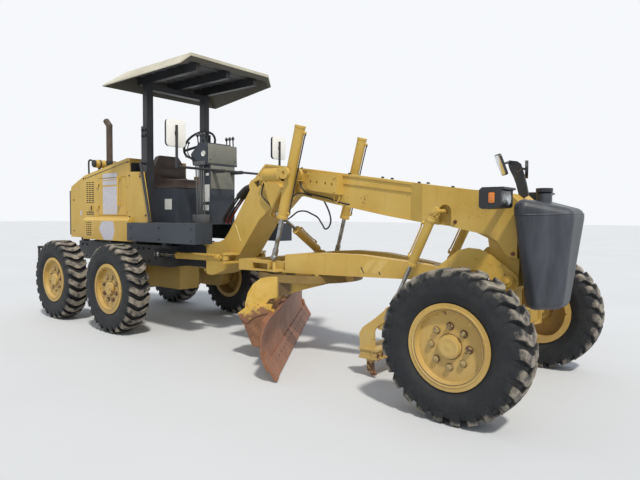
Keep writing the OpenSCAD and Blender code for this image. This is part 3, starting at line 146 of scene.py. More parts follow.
def mottled_material(name, tones, grain, gloss, spread=None, **sockets):
    """Two tones mixed by one noise, whose scale, detail and roughness are its grain.

    Gloss is one roughness or the two that the noise runs between; spread is where the second tone
    begins, where it is full and how much of it shows.
    """
    material, tree, place = new_material(name)
    clouds = noise(tree, place, *grain)
    share = ramp(tree, clouds, *spread[:2], 0, spread[2]) if spread else clouds
    if isinstance(gloss, tuple):
        gloss = ramp(tree, clouds, 0, 1, *gloss)
    colour = mix(tree, share, *tones)
    finish_material(tree, {"Base Color": colour, "Roughness": gloss, **sockets})
    return material


bpy.ops.mesh.primitive_plane_add(size=240, location=(0, 0, 0))
floor = bpy.context.object
floor.name = "floor"
floor.data.materials.append(mottled_material("concrete_pale_floated", ("#CDD0D4", "#C1C4C8"), (0.35, 4), 0.85))

# Light: an even pale sky all round and one broad lamp high on the near side, as in a plain studio.
# Camera, mirror and glass rays see white surroundings; the object is lit by the softer sky colour.
world = bpy.data.worlds.new("studio")
bpy.context.scene.world = world
world.use_nodes = True
tree = world.node_tree
tree.nodes.clear()
seen = add_node(tree, "LightPath", {}, {}, "Is Camera Ray").node
shiny = arithmetic(tree, "MAXIMUM", seen.outputs["Is Camera Ray"], seen.outputs["Is Glossy Ray"])
direct = arithmetic(tree, "MAXIMUM", shiny, seen.outputs["Is Transmission Ray"])
sky = add_node(tree, "Background", {}, {"Color": linear("#E6ECF4"), "Strength": 0.70})
white = add_node(tree, "Background", {}, {"Color": linear("#F6F8FB"), "Strength": 1.0})
both = tree.nodes.new("ShaderNodeMixShader")
tree.links.new(direct, both.inputs[0])
tree.links.new(sky, both.inputs[1])
tree.links.new(white, both.inputs[2])
output = tree.nodes.new("ShaderNodeOutputWorld")
tree.links.new(both.outputs[0], output.inputs["Surface"])
sun = bpy.data.objects.new("key_lamp", bpy.data.lights.new("key_lamp", "SUN"))
sun.data.energy = 3.0
sun.data.angle = math.radians(5)
sun.data.color = linear("#FFF9EE")[:3]
sun.rotation_euler = Vector((0.72, -0.46, 1.20)).to_track_quat("Z", "Y").to_euler()
bpy.context.scene.collection.objects.link(sun)
bpy.context.scene.view_settings.view_transform = "Standard"


# Steelwork: welded plate and folded sheet, sprayed with two coats of alkyd enamel.
# Years of sun have chalked it in clouds, dirty water has run down it, and small chips have rusted.
def paint_nodes(names, material):
    for name in names:
        mesh = frame["nodes"][name].data
        mesh.materials.clear()
        mesh.materials.append(material)


def enamel_material(name, fresh, chalked, grime, rust, chip_edge, gloss, rust_below=-1.0, rust_fade=0.1):
    material, tree, place = new_material(name)
    # Chalking: clouds about 60 cm across
    spots = noise(tree, place, 1.7, 5, 0.6)
    chalk = ramp(tree, spots, 0.36, 0.66)
    colour = mix(tree, chalk, fresh, chalked)
    # Runs of dirty water: upright strokes 25 cm long and 2 cm wide
    stretch = add_node(tree, "Mapping", {}, {"Vector": place, "Scale": (1, 1, 0.09)})
    runs = noise(tree, stretch, 24, 6, 0.6)
    run_mask = ramp(tree, runs, 0.56, 0.80, 0, 0.30)
    colour = mix(tree, run_mask, colour, grime)
    # Dust: a film on what faces up, thicker near the ground
    height = add_node(tree, "SeparateXYZ", {}, {"Vector": place}, "Z")
    low = ramp(tree, height, 0.10, 1.05, 0.55, 0.0)
    facing = add_node(tree, "NewGeometry", {}, {}, "Normal")
    upness = add_node(tree, "SeparateXYZ", {}, {"Vector": facing}, "Z")
    top_film = ramp(tree, upness, 0.6, 1.0, 0, 0.22)
    puffs = noise(tree, place, 7, 6, 0.7)
    dust = arithmetic(tree, "ADD", low, top_film)
    dust = arithmetic(tree, "MULTIPLY", dust, puffs)
    colour = mix(tree, dust, colour, "#9A8E7C")
    # Rusted chips about 1 to 3 cm across, gathered in patches
    chips = noise(tree, place, 46, 3, 0.55)
    patches = noise(tree, place, 3.1, 3)
    chip_sum = arithmetic(tree, "ADD", chips, patches)
    # Towards the ground, where stones and water strike, the chips grow together into bare rusted steel
    worn = ramp(tree, height, rust_below - rust_fade, rust_below + rust_fade, 0.34, 0.0)
    chip_sum = arithmetic(tree, "ADD", chip_sum, worn)
    chip_mask = ramp(tree, chip_sum, chip_edge, chip_edge + 0.05)
    colour = mix(tree, chip_mask, colour, rust)
    shine = ramp(tree, spots, 0.3, 0.7, gloss, gloss + 0.2)
    # Orange peel of the sprayed coat, drawn 8 mm wide so that it shows
    peel = noise(tree, place, 120, 2)
    relief = bump(tree, peel, 0.07, 0.002)
    finish_material(tree, {"Base Color": colour, "Roughness": shine, "Normal": relief, "IOR": 1.5})
    return material


yellow_enamel = enamel_material(
    "alkyd_enamel_yellow", "#BD9940", "#CBAC5B", "#7E6740", "#6E4427", 1.32, 0.42)
slate_enamel = enamel_material(
    "alkyd_enamel_slate", "#232A33", "#363D46", "#54504A", "#5A4232", 1.29, 0.42)
black_enamel = enamel_material(
    "alkyd_enamel_black", "#1B1C1F", "#2B2D31", "#4A453E", "#54402F", 1.29, 0.38)
grey_iron = enamel_material(
    "cast_iron_grey_painted", "#4A4D50", "#5D5F60", "#3C352C", "#5E4531", 1.24, 0.55)
paint_nodes(frame["nodes"], yellow_enamel)
paint_nodes(["rear_frame"], slate_enamel)
paint_nodes(["engine_block", "drawbar_ball"], grey_iron)


# Fasteners: hexagon bolts of turned steel with a washer, painted over with what they hold.
# One head is shaped and copied to every place; the nuts on the wheels come later.
def pick_only(*pieces):
    bpy.ops.object.select_all(action="DESELECT")
    for piece in pieces:
        piece.select_set(True)
    bpy.context.view_layer.objects.active = pieces[0]


def seat_in_mesh(piece):
    pick_only(piece)
    bpy.ops.object.transform_apply(location=True, rotation=True, scale=True)


def round_edges(piece, width, segments=2, angle=35):
    pick_only(piece)
    edges = piece.modifiers.new("edges", "BEVEL")
    edges.width = width
    edges.segments = segments
    edges.limit_method = "ANGLE"
    edges.angle_limit = math.radians(angle)
    bpy.ops.object.modifier_apply(modifier="edges")
    bpy.ops.object.shade_smooth_by_angle(angle=math.radians(angle))


def pick_faces(piece, wanted):
    bpy.ops.mesh.select_mode(type="FACE")
    bpy.ops.mesh.select_all(action="DESELECT")
    bpy.ops.object.mode_set(mode="OBJECT")
    for face in piece.data.polygons:
        face.select = wanted(face)
    bpy.ops.object.mode_set(mode="EDIT")


def join_pieces(pieces, name):
    pick_only(*pieces)
    if len(pieces) > 1:
        bpy.ops.object.join()
    pieces[0].name = name
    return pieces[0]


def turned(degrees, axis):
    return Matrix.Rotation(math.radians(degrees), 4, axis)


def copy_moved(pattern, move, name="copy"):
    """A copy of a pattern, with a mesh of its own that is moved by a matrix."""
    copy = pattern.copy()
    copy.data = pattern.data.copy()
    copy.name = name
    bpy.context.scene.collection.objects.link(copy)
    copy.data.transform(move)
    return copy


def spread_copies(pattern, moves, name):
    """One piece of a copy for each move; the pattern itself goes."""
    piece = join_pieces([copy_moved(pattern, move) for move in moves], name)
    bpy.data.objects.remove(pattern)
    return piece


def give(piece, material, body):
    piece.data.materials.clear()
    piece.data.materials.append(material)
    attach(piece, body)


def plant(pattern, name, places):
    """Copies of a pattern that stands on +Z: each place is a spot, the way it faces and its scale."""
    moves = [Matrix.Translation(spot) @ Vector(facing).to_track_quat("Z", "Y").to_matrix().to_4x4()
             @ Matrix.Scale(scale, 4) for spot, facing, scale in places]
    return join_pieces([copy_moved(pattern, move) for move in moves], name)


def on_both_sides(y, scale, places):
    """Bolts that stand out sideways at y and at -y, at the x and z of their places."""
    return [((x, side * y, z), (0, side, 0), scale) for side in (-1, 1) for x, z in places]


# An M20 head, 30 mm across flats and 12 mm high, on a 40 mm washer; scale 1 is that size.
# Both are short cylinders whose top face is drawn in and raised.
head_and_washer = []
for sides, radius, depth, middle, rim, crown in (
        (6, 0.0173, 0.012, 0.009, 0.0025, 0.0015), (16, 0.020, 0.004, 0.001, 0.001, 0.0005)):
    bpy.ops.mesh.primitive_cylinder_add(vertices=sides, radius=radius, depth=depth, location=(0, 0, middle))
    disc = bpy.context.object
    bpy.ops.object.mode_set(mode="EDIT")
    pick_faces(disc, lambda face: face.normal.z > 0.9)
    bpy.ops.mesh.inset(thickness=rim, depth=crown)
    bpy.ops.object.mode_set(mode="OBJECT")
    seat_in_mesh(disc)
    head_and_washer.append(disc)
bolt = join_pieces(head_and_washer, "bolt_pattern")

# Articulation and rear frame: the pin's caps are held by bolts, the towing jaw by its own pin
SIDES = ((-1, "right"), (1, "left"))
REAR_AXLES = (-1.262, -2.654)
FRONT_AXLE = 3.030
TRACK_HALF = 0.911
TYRE_RADIUS = 0.520
HITCH_PIN = -0.640
give(plant(bolt, "hitch_pin_bolts", [
    ((HITCH_PIN + 0.024 * math.cos(a), 0.024 * math.sin(a), 1.064), (0, 0, 1), 0.5)
    for a in (0.5, 2.6, 4.7)]), slate_enamel, "rear")
give(plant(bolt, "rear_rail_bolts", on_both_sides(0.340, 0.9, [
    (x, z) for x in (-3.20, -3.08, -1.72, -1.60, -1.48) for z in (0.79, 0.95)])),
    slate_enamel, "rear")
give(plant(bolt, "tandem_cover_bolts", on_both_sides(0.735, 0.55, [
    (x + 0.095 * math.cos(a), TYRE_RADIUS + 0.095 * math.sin(a))
    for x in REAR_AXLES for a in [k * math.tau / 10 for k in range(10)]])), yellow_enamel, "rear")

# Tyres: six 10.00-20 cross-ply tyres with bars that run out from the middle like a wide V.
# Black natural rubber: dark flanks, bars greyed by dust where they roll, grooves left black.
BEAD_RADIUS = 0.2545
BARS = 25
TYRE_SECTION = [  # radius, distance from the middle plane
    (BEAD_RADIUS, 0.096), (0.286, 0.101), (0.296, 0.104), (0.300, 0.110), (0.306, 0.110), (0.312, 0.113),
    (0.330, 0.126), (0.365, 0.1372), (0.378, 0.1385), (0.383, 0.1378), (0.400, 0.1385), (0.425, 0.1372),
    (0.452, 0.131), (0.470, 0.120), (0.482, 0.096), (0.489, 0.050), (0.490, 0.0)]
BAR_STATIONS = [  # across the tread, outer radius, foot radius, lead round the tyre in metres
    (-0.1385, 0.440, 0.432, -0.060), (-0.1345, 0.476, 0.452, -0.058), (-0.120, 0.5105, 0.468, -0.050),
    (-0.098, 0.518, 0.477, -0.036), (-0.055, 0.520, 0.484, -0.006), (-0.018, 0.520, 0.486, 0.012),
    (0.018, 0.520, 0.486, 0.012), (0.055, 0.520, 0.484, -0.006), (0.098, 0.518, 0.477, -0.036),
    (0.120, 0.5105, 0.468, -0.050), (0.1345, 0.476, 0.452, -0.058), (0.1385, 0.440, 0.432, -0.060)]
BAR_WIDTH = 0.080
rubber, tree, place = new_material("natural_rubber_tyre")
wear = add_node(tree, "Attribute", {"attribute_name": "wear"}, {}, "Fac")
dirt = noise(tree, place, 11, 7, 0.66)
wear_on_bars = arithmetic(tree, "MULTIPLY", wear, dirt)
wear_mask = ramp(tree, wear_on_bars, 0.36, 0.58, 0, 0.92)
film = ramp(tree, dirt, 0.45, 0.78, 0, 0.5)
colour = mix(tree, film, "#15181D", "#36342F")
colour = mix(tree, wear_mask, colour, "#958D80")
# Scuffs of a few millimetres on the rubber
scuffs = noise(tree, place, 90, 4)
relief = bump(tree, scuffs, 0.25, 0.003)
finish_material(tree, {"Base Color": colour, "Roughness": 0.72, "Normal": relief})


def turned_about_y(name, section, steps, move=Matrix()):
    """A section of (radius, y) points, drawn by extruding one point along it and spun about the Y axis."""
    bpy.ops.mesh.primitive_plane_add(size=0.01, location=(0, 0, 0))
    piece = bpy.context.object
    piece.name = name
    bpy.ops.object.mode_set(mode="EDIT")
    bpy.ops.mesh.select_mode(type="VERT")
    bpy.ops.mesh.select_all(action="SELECT")
    bpy.ops.mesh.merge(type="CENTER")
    spot = Vector((0, 0, 0))
    for number, (radius, across) in enumerate(section):
        stride = Vector((0, across, radius)) - spot
        if number == 0:
            bpy.ops.transform.translate(value=stride)
        else:
            bpy.ops.mesh.extrude_region_move(TRANSFORM_OT_translate={"value": stride})
        spot += stride
    bpy.ops.mesh.select_all(action="SELECT")
    bpy.ops.mesh.spin(steps=steps, angle=math.tau, center=(0, 0, 0), axis=(0, 1, 0), use_auto_merge=True)
    bpy.ops.mesh.select_all(action="SELECT")
    bpy.ops.mesh.remove_doubles(threshold=0.0001)
    bpy.ops.mesh.normals_make_consistent(inside=False)
    bpy.ops.object.mode_set(mode="OBJECT")
    bpy.ops.object.shade_smooth_by_angle(angle=math.radians(32))
    piece.data.transform(move)
    return piece


casing = turned_about_y("tyre_casing", TYRE_SECTION + [(r, -y) for r, y in reversed(TYRE_SECTION[:-1])], 100)
bpy.ops.mesh.primitive_grid_add(x_subdivisions=len(BAR_STATIONS) - 1, y_subdivisions=1, size=1)
bar = bpy.context.object
bpy.ops.object.mode_set(mode="EDIT")
bpy.ops.mesh.extrude_region_move(TRANSFORM_OT_translate={"value": (0, 0, -1)})
bpy.ops.object.mode_set(mode="OBJECT")
for vertex in bar.data.vertices:
    across, outer, foot, lead = BAR_STATIONS[round((vertex.co.x + 0.5) * (len(BAR_STATIONS) - 1))]
    at_foot = vertex.co.z < -0.5
    spread = BAR_WIDTH * (1.10 if at_foot else 0.86) * (0.5 if vertex.co.y < 0 else -0.5)
    turn = (-lead + spread) / TYRE_RADIUS
    radius = foot - 0.006 if at_foot else outer
    vertex.co = (radius * math.cos(turn), across, radius * math.sin(turn))
bpy.ops.object.mode_set(mode="EDIT")
bpy.ops.mesh.select_all(action="SELECT")
bpy.ops.mesh.normals_make_consistent(inside=False)
bpy.ops.object.mode_set(mode="OBJECT")
tyre = join_pieces([casing, bar] + [copy_moved(bar, Matrix.Rotation(number * math.tau / BARS, 4, "Y"))
                                    for number in range(1, BARS)], "tyre_pattern")
worn = tyre.data.attributes.new("wear", "FLOAT", "POINT")
for vertex in tyre.data.vertices:
    radius = math.hypot(vertex.co.x, vertex.co.z)
    worn.data[vertex.index].value = (
        1.0 if radius > 0.505 else 0.75 if radius > 0.47 and abs(vertex.co.y) > 0.13 else 0.1)
pick_only(tyre)
bpy.ops.object.shade_smooth_by_angle(angle=math.radians(28))
WHEELS = [("rear_%s_%s" % (label, row), x, side) for side, label in SIDES
          for row, x in zip(("front", "back"), REAR_AXLES)]
WHEELS += [("front_" + label, FRONT_AXLE, side) for side, label in SIDES]
for number, (wheel, x, side) in enumerate(WHEELS):
    hub = Matrix.Translation((x, side * TRACK_HALF, TYRE_RADIUS))
    piece = copy_moved(tyre, hub @ Matrix.Rotation(0.07 * number, 4, "Y"), "tread_tyre_" + wheel)
    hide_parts("tyre_" + wheel)
    give(piece, rubber, "wheel_" + wheel)
bpy.data.objects.remove(tyre)

# Rims: pressed steel with a split lock ring that holds the tyre on, eight wheel nuts and a valve.
# Painted yellow with the rest; the paint is rubbed and rusted round the nuts and in the lock ring's gap.
wheel_enamel = enamel_material(
    "alkyd_enamel_yellow_wheels", "#B4903E", "#C4A355", "#6C5638", "#5E3F28", 1.25, 0.38)
bare_nuts = enamel_material(
    "steel_nuts_paint_rubbed_off", "#8C7A4A", "#A08A52", "#4C4234", "#553C2B", 1.05, 0.5)
gap_rust = enamel_material(
    "steel_rusted_in_gaps", "#4A3628", "#7A6238", "#3A2C22", "#5A3A28", 1.05, 0.6)
paint_nodes([n for n in frame["nodes"] if n.startswith("rim_")], wheel_enamel)
bpy.ops.mesh.primitive_circle_add(
    vertices=10, radius=0.0075, fill_type="NGON", location=(0, -0.1145, 0.262), rotation=(0, math.pi / 2, 0))
lock_ring = bpy.context.object
seat_in_mesh(lock_ring)
bpy.ops.object.mode_set(mode="EDIT")
bpy.ops.mesh.select_all(action="SELECT")
bpy.ops.mesh.spin(steps=88, angle=math.radians(356), center=(0, 0, 0), axis=(0, 1, 0))
bpy.ops.mesh.select_all(action="SELECT")
bpy.ops.mesh.remove_doubles(threshold=0.00005)
bpy.ops.mesh.normals_make_consistent(inside=False)
bpy.ops.object.mode_set(mode="OBJECT")
bpy.ops.object.shade_smooth_by_angle(angle=math.radians(40))
cap = turned_about_y("hub_cap", [
    (0.074, -0.102), (0.0735, -0.1065), (0.066, -0.1095), (0.052, -0.1105), (0.040, -0.1085), (0.024, -0.1085),
    (0.018, -0.110), (0.0, -0.110)], 40)
bead = turned_about_y("weld_bead", [
    (0.2405, -0.0785), (0.2375, -0.0835), (0.2325, -0.0805), (0.2305, -0.0765)], 64)
rust_gap = turned_about_y("lock_ring_gap", [
    (0.2455, -0.1165), (0.2460, -0.1192), (0.2500, -0.1192), (0.2520, -0.1165)], 88)
foot_gap = turned_about_y("hub_foot_gap", [
    (0.0790, -0.0765), (0.0830, -0.0800), (0.0870, -0.0795), (0.0890, -0.0765)], 56)
valve = turned_about_y("valve_stem", [
    (0.0, -0.134), (0.0045, -0.134), (0.0055, -0.132), (0.0055, -0.122), (0.0038, -0.120), (0.0038, -0.080)],
    12, Matrix.Translation((-0.11, 0.004, 0.205)))
stud = turned_about_y("stud_end", [
    (0.0, -0.104), (0.0085, -0.104), (0.010, -0.102), (0.010, -0.076)], 14)
seat_cone = turned_about_y("nut_cone", [(0.0, -0.084), (0.024, -0.084), (0.028, -0.079), (0.029, -0.076)], 18)
bpy.ops.mesh.primitive_cylinder_add(
    vertices=6, radius=0.0225, depth=0.016, location=(0, -0.091, 0), rotation=(math.pi / 2, 0, 0))
wheel_nut = bpy.context.object
seat_in_mesh(wheel_nut)
round_edges(wheel_nut, 0.0015)
# Eight nuts on a circle of 274 mm, turned a little so that none stands straight up
nut_moves = [Matrix.Rotation((number + 0.42) * math.tau / 8, 4, "Y") @ Matrix.Translation((0.137, 0, 0))
             for number in range(8)]
nuts = spread_copies(join_pieces([wheel_nut, stud], "wheel_nut_pattern"), nut_moves, "wheel_nuts")
cones = spread_copies(seat_cone, nut_moves, "nut_cones")
rim_sets = (
    (join_pieces([lock_ring, cap, bead, valve], "rim_fittings"), wheel_enamel, "yellow_paint"),
    (nuts, bare_nuts, "yellow_paint"),
    (join_pieces([cones, rust_gap, foot_gap], "rust_in_gaps"), gap_rust, "worn_steel"))
for number, (wheel, x, side) in enumerate(WHEELS):
    hub = Matrix.Translation((x, side * TRACK_HALF, TYRE_RADIUS))
    move = hub @ turned(180 if side > 0 else 0, "Z") @ Matrix.Rotation(0.31 * number, 4, "Y")
    for pattern, material, slot in rim_sets:
        give(copy_moved(pattern, move, pattern.name + "_" + wheel), material, "wheel_" + wheel)
for pattern, material, slot in rim_sets:
    bpy.data.objects.remove(pattern)


# Hood: folded sheet with one door a side. Plain grey films are stuck on the door and the side box,
# latches are black castings, and a black steel guard stands before the grille at the back.
def cut_plate(name, outline, thickness, edge=0.001):
    """A plate cut to an outline of points in space, made thick along a vector, with its edges rounded."""
    bpy.ops.mesh.primitive_circle_add(vertices=len(outline), radius=0.1, fill_type="NGON", location=(0, 0, 0))
    plate = bpy.context.object
    plate.name = name
    for vertex, spot in zip(plate.data.vertices, outline):
        vertex.co = spot
    bpy.ops.object.mode_set(mode="EDIT")
    bpy.ops.mesh.select_all(action="SELECT")
    bpy.ops.mesh.extrude_region_move(TRANSFORM_OT_translate={"value": thickness})
    bpy.ops.mesh.select_all(action="SELECT")
    bpy.ops.mesh.normals_make_consistent(inside=False)
    bpy.ops.object.mode_set(mode="OBJECT")
    if edge:
        round_edges(plate, edge)
    return plate


def rectangle(a, b, low, high):
    return [(a, low), (b, low), (b, high), (a, high)]


def side_plate(name, y, outline, depth, edge=0):
    """A plate that faces sideways at y, with an outline of (x, z) points; it grows outwards by its depth."""
    return cut_plate(name, [(x, y, z) for x, z in outline], (0, math.copysign(depth, y), 0), edge)


def front_plate(name, x, outline, depth, edge=0):
    """A plate that faces forward or back at x, with an outline of (y, z) points; it grows along X."""
    return cut_plate(name, [(x, y, z) for y, z in outline], (depth, 0, 0), edge)


def plain_box(name, low, high):
    """A box between two opposite corners."""
    bpy.ops.mesh.primitive_cube_add(
        size=1, location=[(a + b) / 2 for a, b in zip(low, high)], scale=[abs(b - a) for a, b in zip(low, high)])
    box = bpy.context.object
    box.name = name
    seat_in_mesh(box)
    return box


def shaped_block(name, low, high, edge):
    block = plain_box(name, low, high)
    round_edges(block, edge)
    return block


def round_bar(name, start, end, radius, edge=0.002, sides=20):
    start, end = Vector(start), Vector(end)
    bpy.ops.mesh.primitive_cylinder_add(
        vertices=sides, radius=radius, depth=(end - start).length, location=(start + end) / 2,
        rotation=(end - start).to_track_quat("Z", "Y").to_euler())
    bar = bpy.context.object
    bar.name = name
    seat_in_mesh(bar)
    round_edges(bar, edge)
    return bar


# Cast vinyl film: pale grey, matt, scuffed and faintly dirty in patches
film_grey = mottled_material(
    "cast_vinyl_film_grey", ("#C2C1CA", "#ADAAAC"), (20, 7, 0.7), 0.5, spread=(0.4, 0.75, 0.7))
FILM = 0.0008
for side, label in SIDES:
    hood_face, box_face = side * 0.4401, side * 0.6001
    on_door = [side_plate("film", hood_face, rectangle(-2.420, -2.052, low, high), FILM)
               for low, high in ((1.390, 1.765), (1.788, 1.846), (1.858, 1.876))]
    give(join_pieces(on_door, "film_on_door_" + label), film_grey, "door_" + label)
    stuck_on = (
        side_plate("film_on_hood_" + label, hood_face, rectangle(-2.420, -2.052, 1.890, 1.944), FILM),
        side_plate("film_on_side_box_" + label, box_face, (
            (-2.168, 1.300), (-1.884, 1.300), (-1.858, 1.240), (-1.842, 1.180), (-1.870, 1.110), (-1.901, 1.056),
            (-2.119, 1.056), (-2.160, 1.110), (-2.235, 1.192), (-2.200, 1.250)), FILM),
        side_plate("hood_tag_" + label, hood_face, (
            (-3.062, 1.378), (-3.020, 1.372), (-3.012, 1.446), (-3.050, 1.450)), FILM))
    for piece in stuck_on:
        give(piece, film_grey, "rear")
    give(shaped_block("latch_plate_" + label, (-2.800, side * 0.440, 1.446), (-2.700, side * 0.449, 1.522), 0.003),
         yellow_enamel, "rear")
    give(shaped_block("latch_lever_" + label, (-2.722, side * 0.449, 1.455), (-2.706, side * 0.462, 1.513), 0.004),
         black_enamel, "rear")
    # Black plates close the louvres from inside as painted shade, so the openings read dark like the hood's shaded
    # inside; yellow strips stiffen them outside
    shade_plates = [side_plate("shade_plates", side * y, rectangle(a, b, low, high), 0.002) for a, b, low, high, y in (
        (-2.900, -2.645, 1.545, 1.860, 0.428), (-2.900, -2.645, 1.378, 1.430, 0.428),
        (-2.590, -2.434, 1.100, 1.289, 0.592))]
    give(join_pieces(shade_plates, "louvre_cloth_" + label), black_enamel, "rear")
    strips = [side_plate("strip", side * y, rectangle(x - half, x + half, low, high), 0.002, 0.0005)
              for x, half, low, high, y in (
                  (-2.812, 0.006, 1.546, 1.851, 0.4402), (-2.736, 0.006, 1.546, 1.851, 0.4402),
                  (-2.536, 0.005, 1.100, 1.285, 0.6002), (-2.487, 0.005, 1.100, 1.285, 0.6002))]
    give(join_pieces(strips, "louvre_strips_" + label), yellow_enamel, "rear")
# A black plate on the firewall behind the seat, under the hood's lip, is painted shade that darkens the recess
# there
give(front_plate("firewall_painted_shade_plate", -1.7375, rectangle(-0.425, 0.425, 1.890, 2.062), 0.003),
     black_enamel, "rear")
give(plant(bolt, "hood_bolts", on_both_sides(0.440, 0.55, (
    (-3.25, 1.15), (-3.25, 1.60), (-2.95, 1.90), (-1.785, 1.42), (-1.785, 1.75), (-1.785, 2.07)))
    + on_both_sides(0.530, 0.6, ((-1.600, 1.88), (-1.360, 1.86), (-1.600, 1.36), (-1.240, 1.38)))),
    black_enamel, "rear")
# The seam between side and top is closed by a black rubber strip
rubber_strip = mottled_material("nitrile_rubber_black", ("#17181A", "#2C2B2A"), (60, 5), (0.42, 0.68))
for side, label in SIDES:
    give(side_plate("hood_seam_" + label, side * 0.4395, (
        (-2.921, 1.893), (-1.800, 2.070), (-1.742, 2.066), (-1.742, 2.074), (-1.800, 2.078), (-2.921, 1.901)),
        0.003), rubber_strip, "rear")
# Guard at the back: a welded box of flat bar with upright bars, bolted over the radiator
guard = [shaped_block("guard", low, high, 0.003) for low, high in (
    ((-3.425, -0.420, 1.085), (-3.346, -0.395, 1.740)), ((-3.425, 0.395, 1.085), (-3.346, 0.420, 1.740)),
    ((-3.425, -0.394, 1.715), (-3.346, 0.394, 1.740)), ((-3.425, -0.394, 1.085), (-3.346, 0.394, 1.110)))]
guard += [shaped_block("guard", (-3.420, y - 0.006, 1.111), (-3.404, y + 0.006, 1.714), 0.002)
          for y in [-0.36 + 0.06 * k for k in range(13)]]
give(join_pieces(guard, "radiator_guard"), black_enamel, "rear")
paint_nodes(["rear_grille"], black_enamel)

# Air pre-cleaner: a spun sheet drum lying across the hood, painted yellow, with black ends.
# It stands on two strap feet, and a bent pipe of black steel leads down from its right end.
DRUM = Matrix.Translation((-3.010, -0.055, 2.135))
give(turned_about_y("air_cleaner_drum", [
    (0.0, -0.205), (0.045, -0.205), (0.052, -0.200), (0.056, -0.190), (0.056, -0.172), (0.060, -0.168),
    (0.060, 0.168), (0.056, 0.172), (0.056, 0.190), (0.052, 0.200), (0.045, 0.205), (0.0, 0.205)], 40, DRUM),
    yellow_enamel, "rear")
give(turned_about_y("air_cleaner_end", [
    (0.0, -0.216), (0.030, -0.216), (0.047, -0.211), (0.054, -0.203), (0.0565, -0.186), (0.0560, -0.184)],
    40, DRUM), black_enamel, "rear")
feet = [shaped_block("foot", (-3.030, y - 0.012, 1.895), (-2.990, y + 0.012, 2.082), 0.003) for y in (-0.17, 0.06)]
clamps = [turned_about_y("band", [
    (0.0605, y - 0.012), (0.0625, y - 0.011), (0.0625, y + 0.011), (0.0605, y + 0.012)], 40, DRUM)
    for y in (-0.115, 0.115)]
give(join_pieces(feet + clamps, "air_cleaner_straps"), black_enamel, "rear")


def smooth_route(points, steps=5):
    """Points of a smooth line through the given ones."""
    spots = [Vector(p) for p in points]
    spots = [2 * spots[0] - spots[1]] + spots + [2 * spots[-1] - spots[-2]]
    route = []
    for a, b, c, d in zip(spots, spots[1:], spots[2:], spots[3:]):
        for k in range(steps):
            t = k / steps
            route.append(0.5 * (2 * b + (c - a) * t + (2 * a - 5 * b + 4 * c - d) * t ** 2
                                + (3 * b - a - 3 * c + d) * t ** 3))
    return route + [spots[-2]]


def tube_curve(name, route, diameter):
    curve = bpy.data.curves.new(name, "CURVE")
    curve.dimensions = "3D"
    curve.bevel_depth = diameter / 2
    curve.bevel_resolution = 3
    curve.use_fill_caps = True
    spline = curve.splines.new("POLY")
    spline.points.add(len(route) - 1)
    for point, spot in zip(spline.points, route):
        point.co = (*spot, 1.0)
    spline.use_smooth = True
    tube = bpy.data.objects.new(name, curve)
    bpy.context.scene.collection.objects.link(tube)
    return tube


def bent_pipe(name, points, diameter):
    pick_only(tube_curve(name, smooth_route(points, 4), diameter))
    bpy.ops.object.convert(target="MESH")
    return bpy.context.object


give(bent_pipe("breather_pipe", [
    (-3.010, -0.255, 2.165), (-3.035, -0.285, 2.185), (-3.075, -0.290, 2.178), (-3.090, -0.290, 2.140),
    (-3.088, -0.290, 2.050), (-3.085, -0.290, 1.960), (-3.085, -0.290, 1.875)], 0.026),
    black_enamel, "rear")

# Exhaust: a welded steel tube, burnt brown by its heat above a black sleeve, cut off square at the tip
burnt, tree, place = new_material("mild_steel_burnt")
clouds = noise(tree, place, 7, 7, 0.7)
grain = noise(tree, place, 70, 5)
height = add_node(tree, "SeparateXYZ", {}, {"Vector": place}, "Z")
black_foot = ramp(tree, height, 2.14, 2.18)
colour = mix(tree, ramp(tree, clouds, 0.35, 0.7), "#3A332E", "#5B4A3E")
colour = mix(tree, black_foot, "#1A1B1D", colour)
relief = bump(tree, grain, 0.2, 0.001)
finish_material(tree, {"Base Color": colour, "Roughness": 0.7, "Normal": relief})
paint_nodes(["exhaust_stack"], burnt)
give(turned_about_y("exhaust_collar", [(0.046, -0.02), (0.052, -0.018), (0.052, 0.018), (0.046, 0.02)], 32,
                    Matrix.Translation((-2.840, -0.100, 2.155)) @ turned(90, "X")),
     black_enamel, "rear")

# Platform: folded slate boxes and a floor of chequer plate; a step grip on each side
paint_nodes(["platform", "console"], slate_enamel)
ribs = [shaped_block("rib", (-0.29 + 0.06 * i, side * 0.62 - 0.09, 1.2895),
                     (-0.25 + 0.06 * i, side * 0.62 + 0.09, 1.2925), 0.001) for side in (-1, 1) for i in range(5)]
give(join_pieces(ribs, "platform_step_ribs"), black_enamel, "rear")
give(plant(bolt, "platform_bolts", on_both_sides(0.750, 0.6, [
    (x, z) for x in (-1.22, -0.65, -0.06) for z in (1.11, 1.24)])), slate_enamel, "rear")
blank_white = mottled_material(
    "polyester_film_white", ("#DEDEDA", "#A9A59B"), (30, 6, 0.7), 0.45, spread=(0.45, 0.8, 0.6))
plates = [side_plate("plate", y, rectangle(a, b, low, high), 0.0012) for y, a, b, low, high in (
    (-0.1905, -0.555, -0.440, 1.545, 1.748), (-0.1905, -0.555, -0.452, 1.442, 1.508),
    (-0.2705, -1.219, -1.074, 1.455, 1.586))]
give(join_pieces(plates, "blank_plates"), blank_white, "rear")
